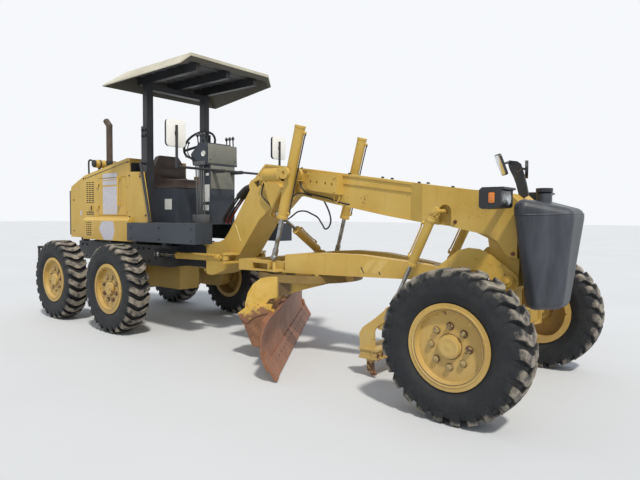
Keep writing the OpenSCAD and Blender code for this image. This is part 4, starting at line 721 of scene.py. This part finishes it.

# Console: a folded steel box with a cast head; gauges of black phenolic face the seat,
# ball knobs of black phenolic sit on the levers, and two pedals with rubber pads stand at its foot
phenolic = mottled_material("phenolic_black_polished", ("#141416", "#2A2A2D"), (140, 4), (0.18, 0.4))
knob = turned_about_y("knob", [
    (0.0, -0.024), (0.009, -0.023), (0.016, -0.017), (0.019, -0.006), (0.018, 0.006), (0.012, 0.016),
    (0.009, 0.022), (0.0, 0.022)], 18)
give(spread_copies(knob, [
    Matrix.Translation((x - 0.020, side * 0.225, 2.336)) @ turned(90, "X")
    for side in (-1, 1) for x in (-0.600, -0.540, -0.480)], "lever_knobs"), phenolic, "rear")
dial = turned_about_y("dial", [(0.0, -0.004), (0.036, -0.004), (0.038, -0.010), (0.042, -0.010), (0.043, 0.0)], 28)
# The head's rear face leans back by 38 degrees
face = turned(-38, "Y") @ turned(90, "Z") @ turned(180, "Z")
give(spread_copies(dial, [Matrix.Translation((-0.652, y, 2.192)) @ face for y in (-0.11, 0.0, 0.11)], "gauges"),
     phenolic, "rear")
# Weathered grey covers of moulded ABS close the front of the head and the upper column
weathered_abs = mottled_material("abs_grey_weathered", ("#5F605A", "#85857C"), (10, 6, 0.65), 0.62)
covers = [front_plate("cover", -0.4298, rectangle(-half, half, low, high), 0.004, 0.0015)
          for half, low, high in ((0.222, 1.998, 2.225), (0.182, 1.700, 1.972))]
give(join_pieces(covers, "console_covers"), weathered_abs, "rear")
# Beside the column stands a bank of control rods in a foot bracket, with a gauge and two switch boxes above
bank = [round_bar("rod", (x, -0.250, 1.390), (x - 0.035, -0.245, 1.990), r, 0.001, 12)
        for x, r in ((-0.590, 0.008), (-0.555, 0.006), (-0.525, 0.009), (-0.490, 0.006), (-0.452, 0.007))]
bank += [shaped_block("foot", (-0.625, -0.300, 1.291), (-0.415, -0.205, 1.392), 0.006),
         shaped_block("head", (-0.650, -0.262, 1.975), (-0.460, -0.231, 2.020), 0.005)]
give(join_pieces(bank, "control_rods"), grey_iron, "rear")
stalks = [bent_pipe("stalk", [(-0.620, -0.245, 2.010), (-0.700, -0.250, 2.065), (-0.765, -0.250, 2.120),
                              (-0.776, -0.250, 2.185), (-0.757, -0.250, 2.240)], 0.013),
          bent_pipe("stalk", [(-0.620, -0.240, 2.000), (-0.700, -0.250, 2.055), (-0.750, -0.252, 2.082),
                              (-0.812, -0.252, 2.090)], 0.017)]
stalks.append(turned_about_y("tip", [
    (0.0, -0.018), (0.010, -0.015), (0.015, -0.005), (0.013, 0.008), (0.006, 0.016), (0.0, 0.017)], 16,
    Matrix.Translation((-0.754, -0.250, 2.252))))
give(join_pieces(stalks, "column_stalks"), phenolic, "rear")
switches = [
    turned_about_y("side_gauge", [
        (0.0, -0.004), (0.026, -0.004), (0.028, -0.009), (0.033, -0.009), (0.034, 0.0)], 28,
        Matrix.Translation((-0.500, -0.2305, 2.110))),
    shaped_block("box", (-0.520, -0.198, 1.915), (-0.478, -0.190, 1.945), 0.002),
    shaped_block("box", (-0.500, -0.198, 1.850), (-0.455, -0.190, 1.880), 0.002)]
give(join_pieces(switches, "console_switches"), blank_white, "rear")
pedals = [cut_plate("pedal", [(-0.745, y - 0.035, 1.345), (-0.745, y + 0.035, 1.345), (-0.665, y + 0.035, 1.425),
                              (-0.665, y - 0.035, 1.425)], (0.006, 0, -0.006), 0.002) for y in (-0.12, 0.12)]
pedals += [round_bar("arm", (-0.700, y, 1.385), (-0.645, y, 1.330), 0.008) for y in (-0.12, 0.12)]
give(join_pieces(pedals, "pedals"), rubber_strip, "rear")
give(plant(bolt, "console_bolts", [
    ((-0.430, y, z), (1, 0, 0), 0.5) for y in (-0.16, 0.16) for z in (1.36, 1.62, 1.90)]
    + [((-0.430, y, 2.04), (1, 0, 0), 0.5) for y in (-0.19, 0.19)]), slate_enamel, "rear")
paint_nodes(["steering_wheel"], black_enamel)

# Seat: two foam pads under one dark brown vinyl cover, mottled in two browns.
# The cover is sewn from a top panel and a band, with two sewn channels.
vinyl, tree, place = new_material("vinyl_seat_cover")
clouds = noise(tree, place, 9, 6, 0.65)
# Embossed leather grain 2 mm across
grain = add_node(tree, "TexVoronoi", {}, {"Vector": place, "Scale": 480}, "Distance")
colour = mix(tree, clouds, "#3A2D27", "#55463D")
relief = bump(tree, grain, 0.2, 0.0006)
finish_material(tree, {"Base Color": colour, "Roughness": 0.52, "Normal": relief})


def padded_block(name, low, high, crown):
    """A foam pad: a divided block whose top swells and whose sides pull in between its corners."""
    pad = plain_box(name, low, high)
    bpy.ops.object.mode_set(mode="EDIT")
    bpy.ops.mesh.select_all(action="SELECT")
    bpy.ops.mesh.subdivide(number_cuts=11)
    bpy.ops.object.mode_set(mode="OBJECT")
    middle = [(a + b) / 2 for a, b in zip(low, high)]
    half = [(b - a) / 2 for a, b in zip(low, high)]
    for vertex in pad.data.vertices:
        u, v, w = [(c - m) / h for c, m, h in zip(vertex.co, middle, half)]
        if w > 0.99:
            channel = 0.35 if min(abs(u - 0.33), abs(u + 0.33)) < 0.09 else 1.0
            vertex.co.z += crown * (1 - u ** 4) * (1 - v ** 4) * channel - 0.012 * (1 - channel)
        if abs(u) > 0.99:
            vertex.co.x -= math.copysign(0.012 * (1 - v ** 2) * (1 - w ** 2), u)
        if abs(v) > 0.99:
            vertex.co.y -= math.copysign(0.012 * (1 - u ** 2) * (1 - w ** 2), v)
    round_edges(pad, 0.022, 3, 50)
    soft = pad.modifiers.new("soft", "SUBSURF")
    soft.levels = soft.render_levels = 1
    pick_only(pad)
    bpy.ops.object.modifier_apply(modifier="soft")
    bpy.ops.object.shade_smooth()
    return pad


cushion = padded_block("seat_cushion", (-1.530, -0.245, 1.722), (-1.010, 0.245, 1.825), 0.022)
back = padded_block("seat_back", (-0.225, -0.235, 0.0), (0.225, 0.235, 0.085), 0.020)
# The back pad stands up: its length points up and it leans back by 9 degrees
back.data.transform(Matrix.Translation((-1.560, 0, 1.930)) @ turned(-9, "Y") @ turned(90, "Y") @ turned(180, "Z"))
# The back pad narrows towards its top, as the cover is cut with slanted upper corners
for vertex in back.data.vertices:
    rise = max(0.0, (vertex.co.z - 1.93) / 0.22)
    vertex.co.y *= 1.0 - 0.34 * rise ** 2
for pad in (cushion, back):
    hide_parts("seat")
    give(pad, vinyl, "rear")
give(shaped_block("seat_pan", (-1.535, -0.250, 1.7205), (-1.005, 0.250, 1.732), 0.004),
     black_enamel, "rear")

# Canopy: black posts with wider sleeves, roof beams, and a moulded glass-fibre roof.
# The gelcoat has weathered to beige; a dark pressed lining with ribs closes it from below.
paint_nodes(["canopy_posts", "handrails"], black_enamel)
gelcoat, tree, place = new_material("glass_fibre_gelcoat_weathered")
clouds = noise(tree, place, 3, 7, 0.65)
specks = noise(tree, place, 55, 5, 0.7)
colour = mix(tree, ramp(tree, clouds, 0.35, 0.7), "#C6C3B2", "#A7A18E")
colour = mix(tree, ramp(tree, specks, 0.55, 0.8, 0, 0.6), colour, "#6E6A5C")
# The underside is painted shade: where the surface faces down it turns dark olive brown
facing = add_node(tree, "NewGeometry", {}, {}, "Normal")
upness = add_node(tree, "SeparateXYZ", {}, {"Vector": facing}, "Z")
below = ramp(tree, upness, -0.35, -0.15, 1, 0)
colour = mix(tree, below, colour, "#4B4940")
relief = bump(tree, specks, 0.15, 0.001)
finish_material(tree, {"Base Color": colour, "Roughness": 0.58, "Normal": relief})
paint_nodes(["canopy_roof"], gelcoat)
lining = [shaped_block("lining", (-1.500, a, 3.104), (-0.330, b, 3.112), 0.002)
          for a, b in ((-0.555, -0.032), (0.032, 0.555))]
lining += [shaped_block("rib", (x, side * 0.29 - 0.25, 3.094), (x + 0.05, side * 0.29 + 0.25, 3.105), 0.003)
           for side in (-1, 1) for x in (-1.38, -1.16, -0.94, -0.72, -0.50)]
give(join_pieces(lining, "roof_lining"), grey_iron, "rear")
give(plant(bolt, "post_sleeve_bolts", on_both_sides(0.496, 0.9, [
    (x, z) for x in (-1.350, -1.292) for z in (2.43, 2.36, 1.62, 1.40)])), black_enamel, "rear")

# Cab mirrors: convex glass in white ABS shells on black tube poles
paint_nodes(["cab_mirrors", "front_mirrors"], black_enamel)
white_abs = mottled_material("abs_white_moulded", ("#F2F2F0", "#DCDAD4"), (16, 6, 0.7), 0.4)
mirror_glass, tree, place = new_material("mirror_glass_silvered")
haze = noise(tree, place, 12, 5)
finish_material(tree, {
    "Base Color": linear("#D8DBDD"), "Metallic": 1.0, "Roughness": ramp(tree, haze, 0, 1, 0.02, 0.16)})


def rounded_outline(width, height, radius, across=0.0, up=0.0):
    """An oblong with round corners about a middle point, as twenty points."""
    return [(across + (math.copysign(width / 2 - radius, math.cos(a)) + radius * math.cos(a)),
             up + (math.copysign(height / 2 - radius, math.sin(a)) + radius * math.sin(a)))
            for a in [math.radians(9 + 18 * k) for k in range(20)]]


for side, label in SIDES:
    middle = (side * 0.790, 2.255)
    give(front_plate("mirror_shell_" + label, -0.2575, rounded_outline(0.243, 0.289, 0.043, *middle),
                     0.010, 0.004), white_abs, "rear")
    give(front_plate("mirror_glass_" + label, -0.2865, rounded_outline(0.215, 0.261, 0.032, *middle),
                     -0.002, 0.0008), mirror_glass, "rear")

# Front frame: a welded box with flange strips. Black clips for hoses stand along its top edge,
# rusty bolts hold the nose plates, and a dark grey plate in the window in the leg is painted shade, standing for
# the opening's shaded inside.
for y, name in ((-0.112, "leg_window_shade_plate"), (0.112, "leg_window_shade_plate_left")):
    give(side_plate(name, y, ((0.287, 1.748), (0.422, 1.781), (0.434, 1.768), (0.339, 1.686), (0.311, 1.700)),
                    0.010, 0.002), grey_iron, "front")
give(plant(bolt, "neck_top_bolts", [((x, -0.145, z), (0.12, 0, 1), 0.85) for x, z in (
    (1.569, 1.779), (1.941, 1.728), (2.042, 1.713), (2.313, 1.669), (2.399, 1.661), (2.626, 1.622))]),
    black_enamel, "front")
rusted = enamel_material("steel_bolts_rusted", "#6B4030", "#7E5240", "#3E2A20", "#5A3323", 0.9, 0.6)
# On both sides of the neck and nose: bolts of one size each, at their places along X and Z
for name, y, scale, places, material, slot in (
        ("nose_bolts", 0.220, 0.8, ((3.159, 1.105), (2.688, 1.341)), rusted, "worn_steel"),
        ("scarifier_pin_bolts", 0.2355, 1.15, ((3.124, 0.892),), yellow_enamel, "yellow_paint"),
        ("saddle_box_bolts", 0.265, 0.6, ((1.165, 1.790), (1.165, 1.660), (1.485, 1.745), (1.485, 1.612)),
         yellow_enamel, "yellow_paint")):
    give(plant(bolt, name, on_both_sides(y, scale, places)), material, "front")
touched_up = enamel_material(
    "alkyd_enamel_yellow_touched_up", "#D8C88C", "#E2D6A6", "#B59F62", "#7E5240", 1.4, 0.5)
give(round_bar("leg_weld_scar", (-0.014, -0.1655, 1.281), (0.073, -0.1655, 1.097), 0.0035, 0.001, 10),
     touched_up, "front")
give(bent_pipe("hose_eye", [
    (0.425, -0.160, 1.700), (0.420, -0.192, 1.722), (0.440, -0.212, 1.755), (0.490, -0.216, 1.768),
    (0.540, -0.212, 1.750), (0.552, -0.190, 1.720), (0.548, -0.160, 1.700)], 0.022),
    yellow_enamel, "front")
# A greasy felt ring fills the gap where each swivel fork turns in the cylinder bank
felts = [turned_about_y("felt_ring", [
    (0.037, -0.0028), (0.0655, -0.0028), (0.0670, 0.0), (0.0655, 0.0028), (0.037, 0.0028)], 40,
    Matrix.Translation((1.0465, side * 0.500, 1.781)) @ turned(90, "Z")) for side in (-1, 1)]
give(join_pieces(felts, "fork_felt_rings"), rubber_strip, "front")
# Lifting eye: a ring of round bar welded under the saddle box's front end
for side, label in SIDES:
    bpy.ops.mesh.primitive_torus_add(
        major_radius=0.034, minor_radius=0.009, major_segments=32, minor_segments=10,
        location=(1.462, side * 0.200, 1.560), rotation=(math.pi / 2, 0, 0))
    eye = bpy.context.object
    eye.name = "lifting_eye_" + label
    bpy.ops.object.mode_set(mode="EDIT")
    bpy.ops.mesh.select_all(action="SELECT")
    bpy.ops.transform.resize(value=(0.9, 1.0, 1.35))
    bpy.ops.object.mode_set(mode="OBJECT")
    seat_in_mesh(eye)
    bpy.ops.object.shade_smooth()
    give(eye, yellow_enamel, "front")

# Cylinders: barrels of drawn tube with a screwed gland at the rod end, a welded port block at each end
# and a thin steel feed pipe along the side, all painted; the rods are hard-chromed and hazed by dust
chromed, tree, place = new_material("steel_hard_chromed")
smears = noise(tree, place, 18, 5)
haze = ramp(tree, smears, 0.4, 0.7)
colour = mix(tree, haze, "#A9ACAE", "#7C7264")
shine = ramp(tree, smears, 0.3, 0.7, 0.16, 0.42)
finish_material(tree, {"Base Color": colour, "Metallic": 1.0, "Roughness": shine})
paint_nodes([n for n in frame["nodes"] if "_rod" in n], chromed)


def fit_barrel(label, body, start, end, radius, pipe_side, pipe_finish=yellow_enamel):
    """Gland ring, end cap ring, port blocks and feed pipe on a barrel from its gland to its closed end."""
    start, end = Vector(start), Vector(end)
    along = (end - start).normalized()
    out = (Vector(pipe_side) - Vector(pipe_side).dot(along) * along).normalized()
    turn = along.to_track_quat("Y", "Z").to_matrix().to_4x4()
    parts = [
        turned_about_y("gland", [
            (radius, -0.001), (radius + 0.003, 0.001), (radius + 0.003, 0.026), (radius + 0.002, 0.029),
            (radius, 0.031)], 36, Matrix.Translation(start) @ turn),
        turned_about_y("end_rim", [
            (radius, -0.026), (radius + 0.003, -0.024), (radius + 0.003, -0.004), (radius, -0.001)],
            36, Matrix.Translation(end) @ turn)]
    for spot in (start + 0.062 * along, end - 0.060 * along):
        parts.append(round_bar(
            "port", spot + out * (radius - 0.004), spot + out * (radius + 0.022), 0.014, 0.002, 14))
    bends = ((0.062, 0.020), (0.085, 0.022), (0.12, 0.016))
    pipe = bent_pipe("barrel_pipe_" + label, [start + run * along + out * (radius + rise) for run, rise in bends]
                     + [end - run * along + out * (radius + rise) for run, rise in reversed(bends)], 0.013)
    give(pipe, pipe_finish, body)
    give(join_pieces(parts, "barrel_fittings_" + label), yellow_enamel, body)


for side, label in SIDES:
    top = Vector((1.262, side * 0.500, 2.222))
    ball = Vector((0.927, side * 0.500, 0.975))
    up = (top - ball).normalized()
    # The barrel's lower end hangs 1.356 m above the ground
    fit_barrel("lift_" + label, "lift_barrel_" + label, ball + up * ((1.356 - ball.z) / up.z), top, 0.050,
               (1, 0.25, 0), rubber_strip)
    # Those with eyes at both ends: where the line through the eyes starts and ends, and how far along it
    # the gland and the closed end lie
    for name, body, first, last, gland_at, end_at, radius, pipe_side in (
            ("hitch_" + label, "hitch_barrel_" + label, (-0.040, side * 0.290, 0.905),
             (-1.130, side * 0.440, 0.905), 0.760, 0.080, 0.040, (0, side, 0.6)),
            ("scarifier_" + label, "scarifier_barrels", (2.581, side * 0.370, 1.425), (2.190, side * 0.370, 0.585),
             0.495, 0.065, 0.038, (-1, 0, 0))):
        first = Vector(first)
        way = (Vector(last) - first).normalized()
        fit_barrel(name, body, first + way * gland_at, first + way * end_at, radius, pipe_side)
foot, head = Vector((0.830, 0.330, 0.985)), Vector((0.830, -0.330, 1.400))
way = (head - foot).normalized()
fit_barrel("shift", "shift_barrel", foot + way * 0.480, foot + way * 0.070, 0.042, (0, 0, 1))

# Drawbar: two welded box beams. Paler primer shows in two slanting bands where plates were
# welded on again; short dark slits cross the lower edge beside them
weld_primer = enamel_material(
    "alkyd_enamel_yellow_patched", "#C8A857", "#D2B468", "#A58A50", "#6E4427", 1.33, 0.5)
PATCHES = [((a - 0.02, 0.868), (b - 0.02, 0.868), (b + 0.075, 0.992), (a + 0.075, 0.992))
           for a, b in ((1.800, 1.870), (1.905, 1.985))]
SLITS = [((a - 0.005, low), (b - 0.005, high), (b + 0.006, high), (a + 0.006, low))
         for a, b, low, high in ((1.797, 1.824, 0.920, 0.868), (1.966, 1.977, 0.888, 0.862))]
for side, label in SIDES:
    for name, outlines, reach, material, slot in (
            ("drawbar_patches_", PATCHES, 0.450, weld_primer, "yellow_paint"),
            ("drawbar_slits_", SLITS, 0.4502, black_enamel, "black_paint")):
        # The beam's side runs in towards the middle plane by 358 mm over its length of 1670 mm
        marks = [cut_plate("mark", [
            (x, side * (reach - (x - 0.930) * 0.358 / 1.670), z) for x, z in outline], (0, side * 0.002, 0), 0)
            for outline in outlines]
        give(join_pieces(marks, name + label), material, "drawbar")
give(plant(bolt, "drive_bolts", [
    ((1.370 + 0.062 * math.cos(a), 0.062 * math.sin(a), 0.985), (0, 0, 1), 0.55)
    for a in [k * math.tau / 8 for k in range(8)]]
    + [((1.300 + 0.14 * i, side * 0.235, 0.866), (0, 0, 1), 0.8) for i in (0, 1) for side in (-1, 1)]),
    grey_iron, "drawbar")

# Circle: a rolled ring, greasy and brown where it runs in its shoes, with cast teeth inside.
# The arms are bright yellow; below them the slide brackets and quadrants are scraped to rusty steel
ring_steel, tree, place = new_material("circle_steel_worn")
centred = add_node(tree, "Mapping", {}, {"Vector": place, "Location": (-0.975, 0, 0)})
parts = add_node(tree, "SeparateXYZ", {}, {"Vector": centred}, "X").node
flat = add_node(tree, "CombineXYZ", {}, {"X": parts.outputs["X"], "Y": parts.outputs["Y"]})
reach = add_node(tree, "VectorMath", {"operation": "LENGTH"}, {"Vector": flat}, "Value")
from_ring = arithmetic(tree, "SUBTRACT", reach, 0.515)
from_ring = arithmetic(tree, "ABSOLUTE", from_ring)
on_ring = ramp(tree, from_ring, 0.022, 0.034, 1, 0)
clouds = noise(tree, place, 8, 8, 0.7)
low = ramp(tree, parts.outputs["Z"], 0.30, 0.62, 0.34, 0.0)
scraped = arithmetic(tree, "ADD", clouds, low)
scraped = ramp(tree, scraped, 0.66, 0.74)
chalk = ramp(tree, clouds, 0.4, 0.62)
paint = mix(tree, chalk, "#C29E45", "#D0B05C")
iron = mix(tree, ramp(tree, clouds, 0.35, 0.65), "#54382A", "#8C6248")
grease = mix(tree, clouds, "#3B2F22", "#7A6238")
colour = mix(tree, scraped, paint, iron)
colour = mix(tree, on_ring, colour, grease)
relief = bump(tree, clouds, 0.2, 0.002)
finish_material(tree, {"Base Color": colour, "Roughness": 0.55, "Normal": relief})
paint_nodes(["circle"], ring_steel)
paint_nodes(["circle_gear"], mottled_material(
    "gear_steel_greased", ("#2A2622", "#5A5248"), (14, 6), (0.25, 0.6), Metallic=0.5))

# Blade: a rolled moldboard, polished and then rusted by use, with a bolted cutting edge.
# Its back and upper lip keep scraps of yellow; plough bolts with flush heads hold the edge
BLADE_TURN = Matrix.Translation((0.975, 0, 0)) @ turned(35.2, "Z")
rust_steel, tree, place = new_material("blade_steel_rusted")
clouds = noise(tree, place, 4, 8, 0.65)
grain = noise(tree, place, 60, 6, 0.6)
colour = mix(tree, ramp(tree, clouds, 0.35, 0.65), "#7A4F3B", "#96684F")
colour = mix(tree, ramp(tree, grain, 0.5, 0.8, 0, 0.45), colour, "#A98E78")
# Yellow paint left on the back and the top lip: the back faces the rear
facing = add_node(tree, "NewGeometry", {}, {}, "Normal")
rearward = add_node(tree, "VectorMath", {"operation": "DOT_PRODUCT"}, {
    "Vector": [facing, (-0.817, -0.576, 0.35)]}, "Value")
left_paint = arithmetic(tree, "MULTIPLY", rearward, clouds)
left_paint = ramp(tree, left_paint, 0.30, 0.42)
colour = mix(tree, left_paint, colour, "#C2A25C")
relief = bump(tree, grain, 0.25, 0.002)
finish_material(tree, {"Base Color": colour, "Roughness": 0.62, "Metallic": 0.2, "Normal": relief})
paint_nodes(["blade", "cutting_edge"], rust_steel)
plough = turned_about_y("plough_bolt", [(0.0, -0.0025), (0.013, -0.0022), (0.016, 0.0)], 16)
# The edge's front face leans back by 30 degrees, and its bolts stand 150 mm apart
lean = turned(-29.7, "Y") @ turned(90, "Z")
give(spread_copies(plough, [
    BLADE_TURN @ Matrix.Translation((-0.2224, 0.312 - 1.35 + 0.15 * k, 0.105)) @ lean
    for k in range(19)], "plough_bolts"), rusted, "blade")

# Tilt bolts: one large dark bolt through the foot of each slide bracket
give(plant(bolt, "blade_tilt_bolts", [
    (BLADE_TURN @ Vector((-0.345, y + math.copysign(0.076, y), 0.153)),
     BLADE_TURN.to_3x3() @ Vector((0, y, 0)), 1.7)
    for y in (-0.450, 0.450)]), black_enamel, "circle")

# Scarifier: a welded frame with pinned shanks, yellow above, worn to rusty steel below
paint_nodes(["scarifier"], enamel_material(
    "alkyd_enamel_yellow_scarifier", "#BD9940", "#CBAC5B", "#84693A", "#5E3B29", 1.24, 0.45, 0.16, 0.05))
give(plant(bolt, "shank_clamp_bolts", [
    ((2.134, y + dy, 0.209), (1, 0, 0), 0.7) for y in (-0.45, -0.15, 0.15, 0.45) for dy in (-0.035, 0.035)]),
    rusted, "scarifier")

# Nose tank: rotomoulded polyethylene, faded grey, with a raised seam where the mould closed
# and a screw cap; it is bolted to the nose from behind
polyethylene, tree, place = new_material("polyethylene_rotomoulded")
stretch = add_node(tree, "Mapping", {}, {"Vector": place, "Scale": (1, 1, 0.18)})
clouds = noise(tree, stretch, 7, 7, 0.62)
colour = mix(tree, ramp(tree, clouds, 0.38, 0.72), "#262A31", "#474B53")
# Skin of a rotomoulding: soft dimples about 4 mm across
skin = noise(tree, place, 220, 3)
relief = bump(tree, skin, 0.12, 0.001)
finish_material(tree, {"Base Color": colour, "Roughness": 0.42, "Normal": relief})
paint_nodes(["front_tank"], polyethylene)
tank_copy = frame["nodes"]["front_tank"].copy()
tank_copy.data = frame["nodes"]["front_tank"].data.copy()
tank_copy.parent = None
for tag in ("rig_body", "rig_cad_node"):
    del tank_copy[tag]
bpy.context.scene.collection.objects.link(tank_copy)
pick_only(tank_copy)
bpy.ops.object.mode_set(mode="EDIT")
bpy.ops.mesh.select_all(action="SELECT")
bpy.ops.mesh.remove_doubles(threshold=0.00001)
bpy.ops.mesh.select_all(action="SELECT")
bpy.ops.mesh.bisect(plane_co=(0, 0, 1.300), plane_no=(-0.03, 0, 1), clear_inner=True, clear_outer=True)
bpy.ops.object.mode_set(mode="OBJECT")
bpy.ops.object.convert(target="CURVE")
seam = bpy.context.object
seam.name = "tank_seam"
seam.data.bevel_depth = 0.0045
seam.data.bevel_resolution = 2
bpy.ops.object.convert(target="MESH")
seam = bpy.context.object
# The seam stands out at the sides and is flush with the tank's foremost face
for vertex in seam.data.vertices:
    vertex.co.x = min(vertex.co.x, 3.5640)
bpy.ops.object.shade_smooth()
give(seam, polyethylene, "front")
give(turned_about_y("filler_cap", [
    (0.0, 0.0), (0.048, 0.0), (0.058, -0.004), (0.062, -0.010), (0.062, -0.038), (0.056, -0.040)], 36,
    Matrix.Translation((3.310, 0, 1.564)) @ turned(90, "X") @ turned(180, "X")),
    phenolic, "front")

# Head lamps: black moulded housings with two chromed bowls behind a clear polycarbonate front,
# and an amber acrylic turn lens let into the outer side
paint_nodes(["head_lamps"], black_enamel)
clear_lens, tree, place = new_material("polycarbonate_clear")
# Moulded flutes 9 mm apart on the inside of the lens
flutes = add_node(tree, "TexWave", {"bands_direction": "Y"}, {"Vector": place, "Scale": 18})
relief = bump(tree, flutes, 0.4, 0.002)
finish_material(tree, {
    "Base Color": linear("#F2F4F5"), "Transmission Weight": 1.0, "IOR": 1.58, "Roughness": 0.05, "Normal": relief})
amber, tree, place = new_material("acrylic_amber")
flutes = add_node(tree, "TexWave", {"bands_direction": "Z"}, {"Vector": place, "Scale": 30})
tone = mix(tree, flutes, "#C4641A", "#E08A32")
relief = bump(tree, flutes, 0.3, 0.001)
finish_material(tree, {"Base Color": tone, "Roughness": 0.2, "IOR": 1.49, "Normal": relief, "Coat Weight": 0.4})
reflector, tree, place = new_material("aluminium_vacuum_coated")
haze = noise(tree, place, 30, 4)
finish_material(tree, {
    "Base Color": linear("#E4E6E8"), "Metallic": 1.0, "Roughness": ramp(tree, haze, 0, 1, 0.06, 0.3)})
for side, label in SIDES:
    middle = side * 0.4725
    give(front_plate("lamp_lens_" + label, 3.1930, rounded_outline(0.198, 0.104, 0.014, middle, 1.515),
                     0.004, 0.001), clear_lens, "front")
    bowls = [turned_about_y("bowl", [
        (0.004, -0.012), (0.020, -0.011), (0.034, -0.007), (0.044, 0.0), (0.046, 0.001)], 28,
        Matrix.Translation((3.1905, middle + y, 1.515)) @ turned(-90, "Z"))
        for y in (-0.047, 0.047)]
    give(join_pieces(bowls, "lamp_bowls_" + label), reflector, "front")
    give(side_plate("turn_lens_" + label, side * 0.5825, rounded_outline(0.044, 0.074, 0.008, 3.132, 1.517),
                    0.010, 0.002), amber, "front")

# Front mirrors: glass let into the rear faces of the oblong and the round head
glass = front_plate("front_mirror_glass", -0.0083, rounded_outline(0.096, 0.152, 0.020), -0.002, 0.0008)
glass.data.transform(Matrix.Translation((3.085, -0.296, 1.772)) @ turned(40, "Z") @ turned(-22, "Y"))
give(glass, mirror_glass, "front")
give(turned_about_y("round_mirror_glass", [(0.0, -0.016), (0.040, -0.0155), (0.064, -0.0125)], 40,
                    Matrix.Translation((3.138, 0.100, 1.762)) @ turned(20, "Z")
                    @ turned(-90, "Z")), mirror_glass, "front")

# Front axle: the kingpins end in bolted caps
give(plant(bolt, "kingpin_cap_bolts", [
    ((FRONT_AXLE + 0.028 * math.cos(a), side * 0.650 + 0.028 * math.sin(a), 0.611), (0, 0, 1), 0.5)
    for side in (-1, 1) for a in (0.3, 2.4, 4.5)]), yellow_enamel, "front")
bpy.data.objects.remove(bolt)

# Hoses: two-ply rubber hydraulic hoses, 14 to 21 mm outside.
# A loom of four black and two red ones hangs from the leg of the neck down to the console
hose_rubber = mottled_material("hydraulic_hose_rubber", ("#141517", "#2B2A28"), (40, 5), (0.38, 0.62))
red_hose = mottled_material("hydraulic_hose_red_sleeve", ("#8E2A20", "#6A2A22"), (40, 5), 0.5)


def add_hose(name, points, diameter, material, bodies):
    """A hose along a smooth route: attached to its one body, or, between two bodies that a joint joins, fixed in
    place on neither.
    """
    route = smooth_route(points)
    pick_only(tube_curve(name, route, diameter))
    bpy.ops.object.convert(target="MESH")
    hose = bpy.context.object
    hose.name = name
    hose.data.materials.clear()
    hose.data.materials.append(material)
    if len(bodies) == 1:
        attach(hose, bodies[0])
    else:
        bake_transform(hose)


LOOM = (  # name's end, side offset, sag, rubber, length
    ("1", -0.130, 0.000, hose_rubber, 0.667), ("2", -0.104, 0.012, hose_rubber, 0.663),
    ("3", -0.078, -0.020, red_hose, 0.673), ("4", -0.052, 0.008, hose_rubber, 0.664),
    ("5", -0.026, 0.018, red_hose, 0.662), ("6", 0.000, -0.010, hose_rubber, 0.670))
for number, y, sag, material, length in LOOM:
    add_hose("loom_hose_" + number, [
        (0.208, y, 1.695), (0.150, y, 1.700), (0.080, y, 1.670 - sag * 0.3), (-0.030, y, 1.590 - sag * 0.7),
        (-0.130, y, 1.495 - sag), (-0.215, y, 1.405 - sag * 0.8), (-0.262, y, 1.340 - sag * 0.4),
        (-0.272, y, 1.288)], 0.021, material, ("front", "rear"))
sleeve = bent_pipe("loom_sleeve", [
    (0.175, -0.065, 1.702), (0.110, -0.065, 1.688), (0.040, -0.065, 1.645), (-0.020, -0.065, 1.600)], 0.086)
# The sleeve is pressed into an oval that wraps the six hoses lying side by side
for vertex in sleeve.data.vertices:
    vertex.co.y = -0.065 + (vertex.co.y + 0.065) * 1.9
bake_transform(sleeve)
sleeve.data.materials.append(rubber_strip)
add_hose("neck_hose_long", [
    (0.985, -0.158, 1.872), (0.985, -0.190, 1.840), (0.992, -0.200, 1.760), (1.005, -0.200, 1.690),
    (1.055, -0.200, 1.628), (1.120, -0.200, 1.602), (1.200, -0.200, 1.587), (1.368, -0.200, 1.553),
    (1.452, -0.200, 1.526), (1.530, -0.192, 1.503), (1.590, -0.160, 1.492)], 0.016, hose_rubber, ("front",))
add_hose("neck_hose_port", [
    (1.120, -0.160, 1.585), (1.085, -0.192, 1.595), (1.020, -0.212, 1.612), (0.965, -0.248, 1.592),
    (0.948, -0.305, 1.511), (0.958, -0.375, 1.435), (0.985, -0.435, 1.395), (1.005, -0.475, 1.388)],
    0.014, hose_rubber, ("front", "lift_fork_right"))
add_hose("leg_hose", [
    (0.470, -0.160, 1.745), (0.462, -0.190, 1.720), (0.446, -0.196, 1.656), (0.440, -0.194, 1.606),
    (0.478, -0.192, 1.560), (0.545, -0.192, 1.512), (0.600, -0.196, 1.460), (0.645, -0.200, 1.440)],
    0.016, hose_rubber, ("front",))
add_hose("left_hose_loop", [
    (0.330, 0.160, 1.280), (0.352, 0.250, 1.318), (0.376, 0.350, 1.375), (0.430, 0.400, 1.432),
    (0.538, 0.410, 1.438), (0.640, 0.405, 1.405), (0.727, 0.400, 1.368), (0.800, 0.395, 1.290),
    (0.845, 0.390, 1.240), (0.905, 0.380, 1.262), (0.945, 0.365, 1.330), (0.960, 0.320, 1.420),
    (0.975, 0.230, 1.520), (0.990, 0.130, 1.605)], 0.018, hose_rubber, ("front",))
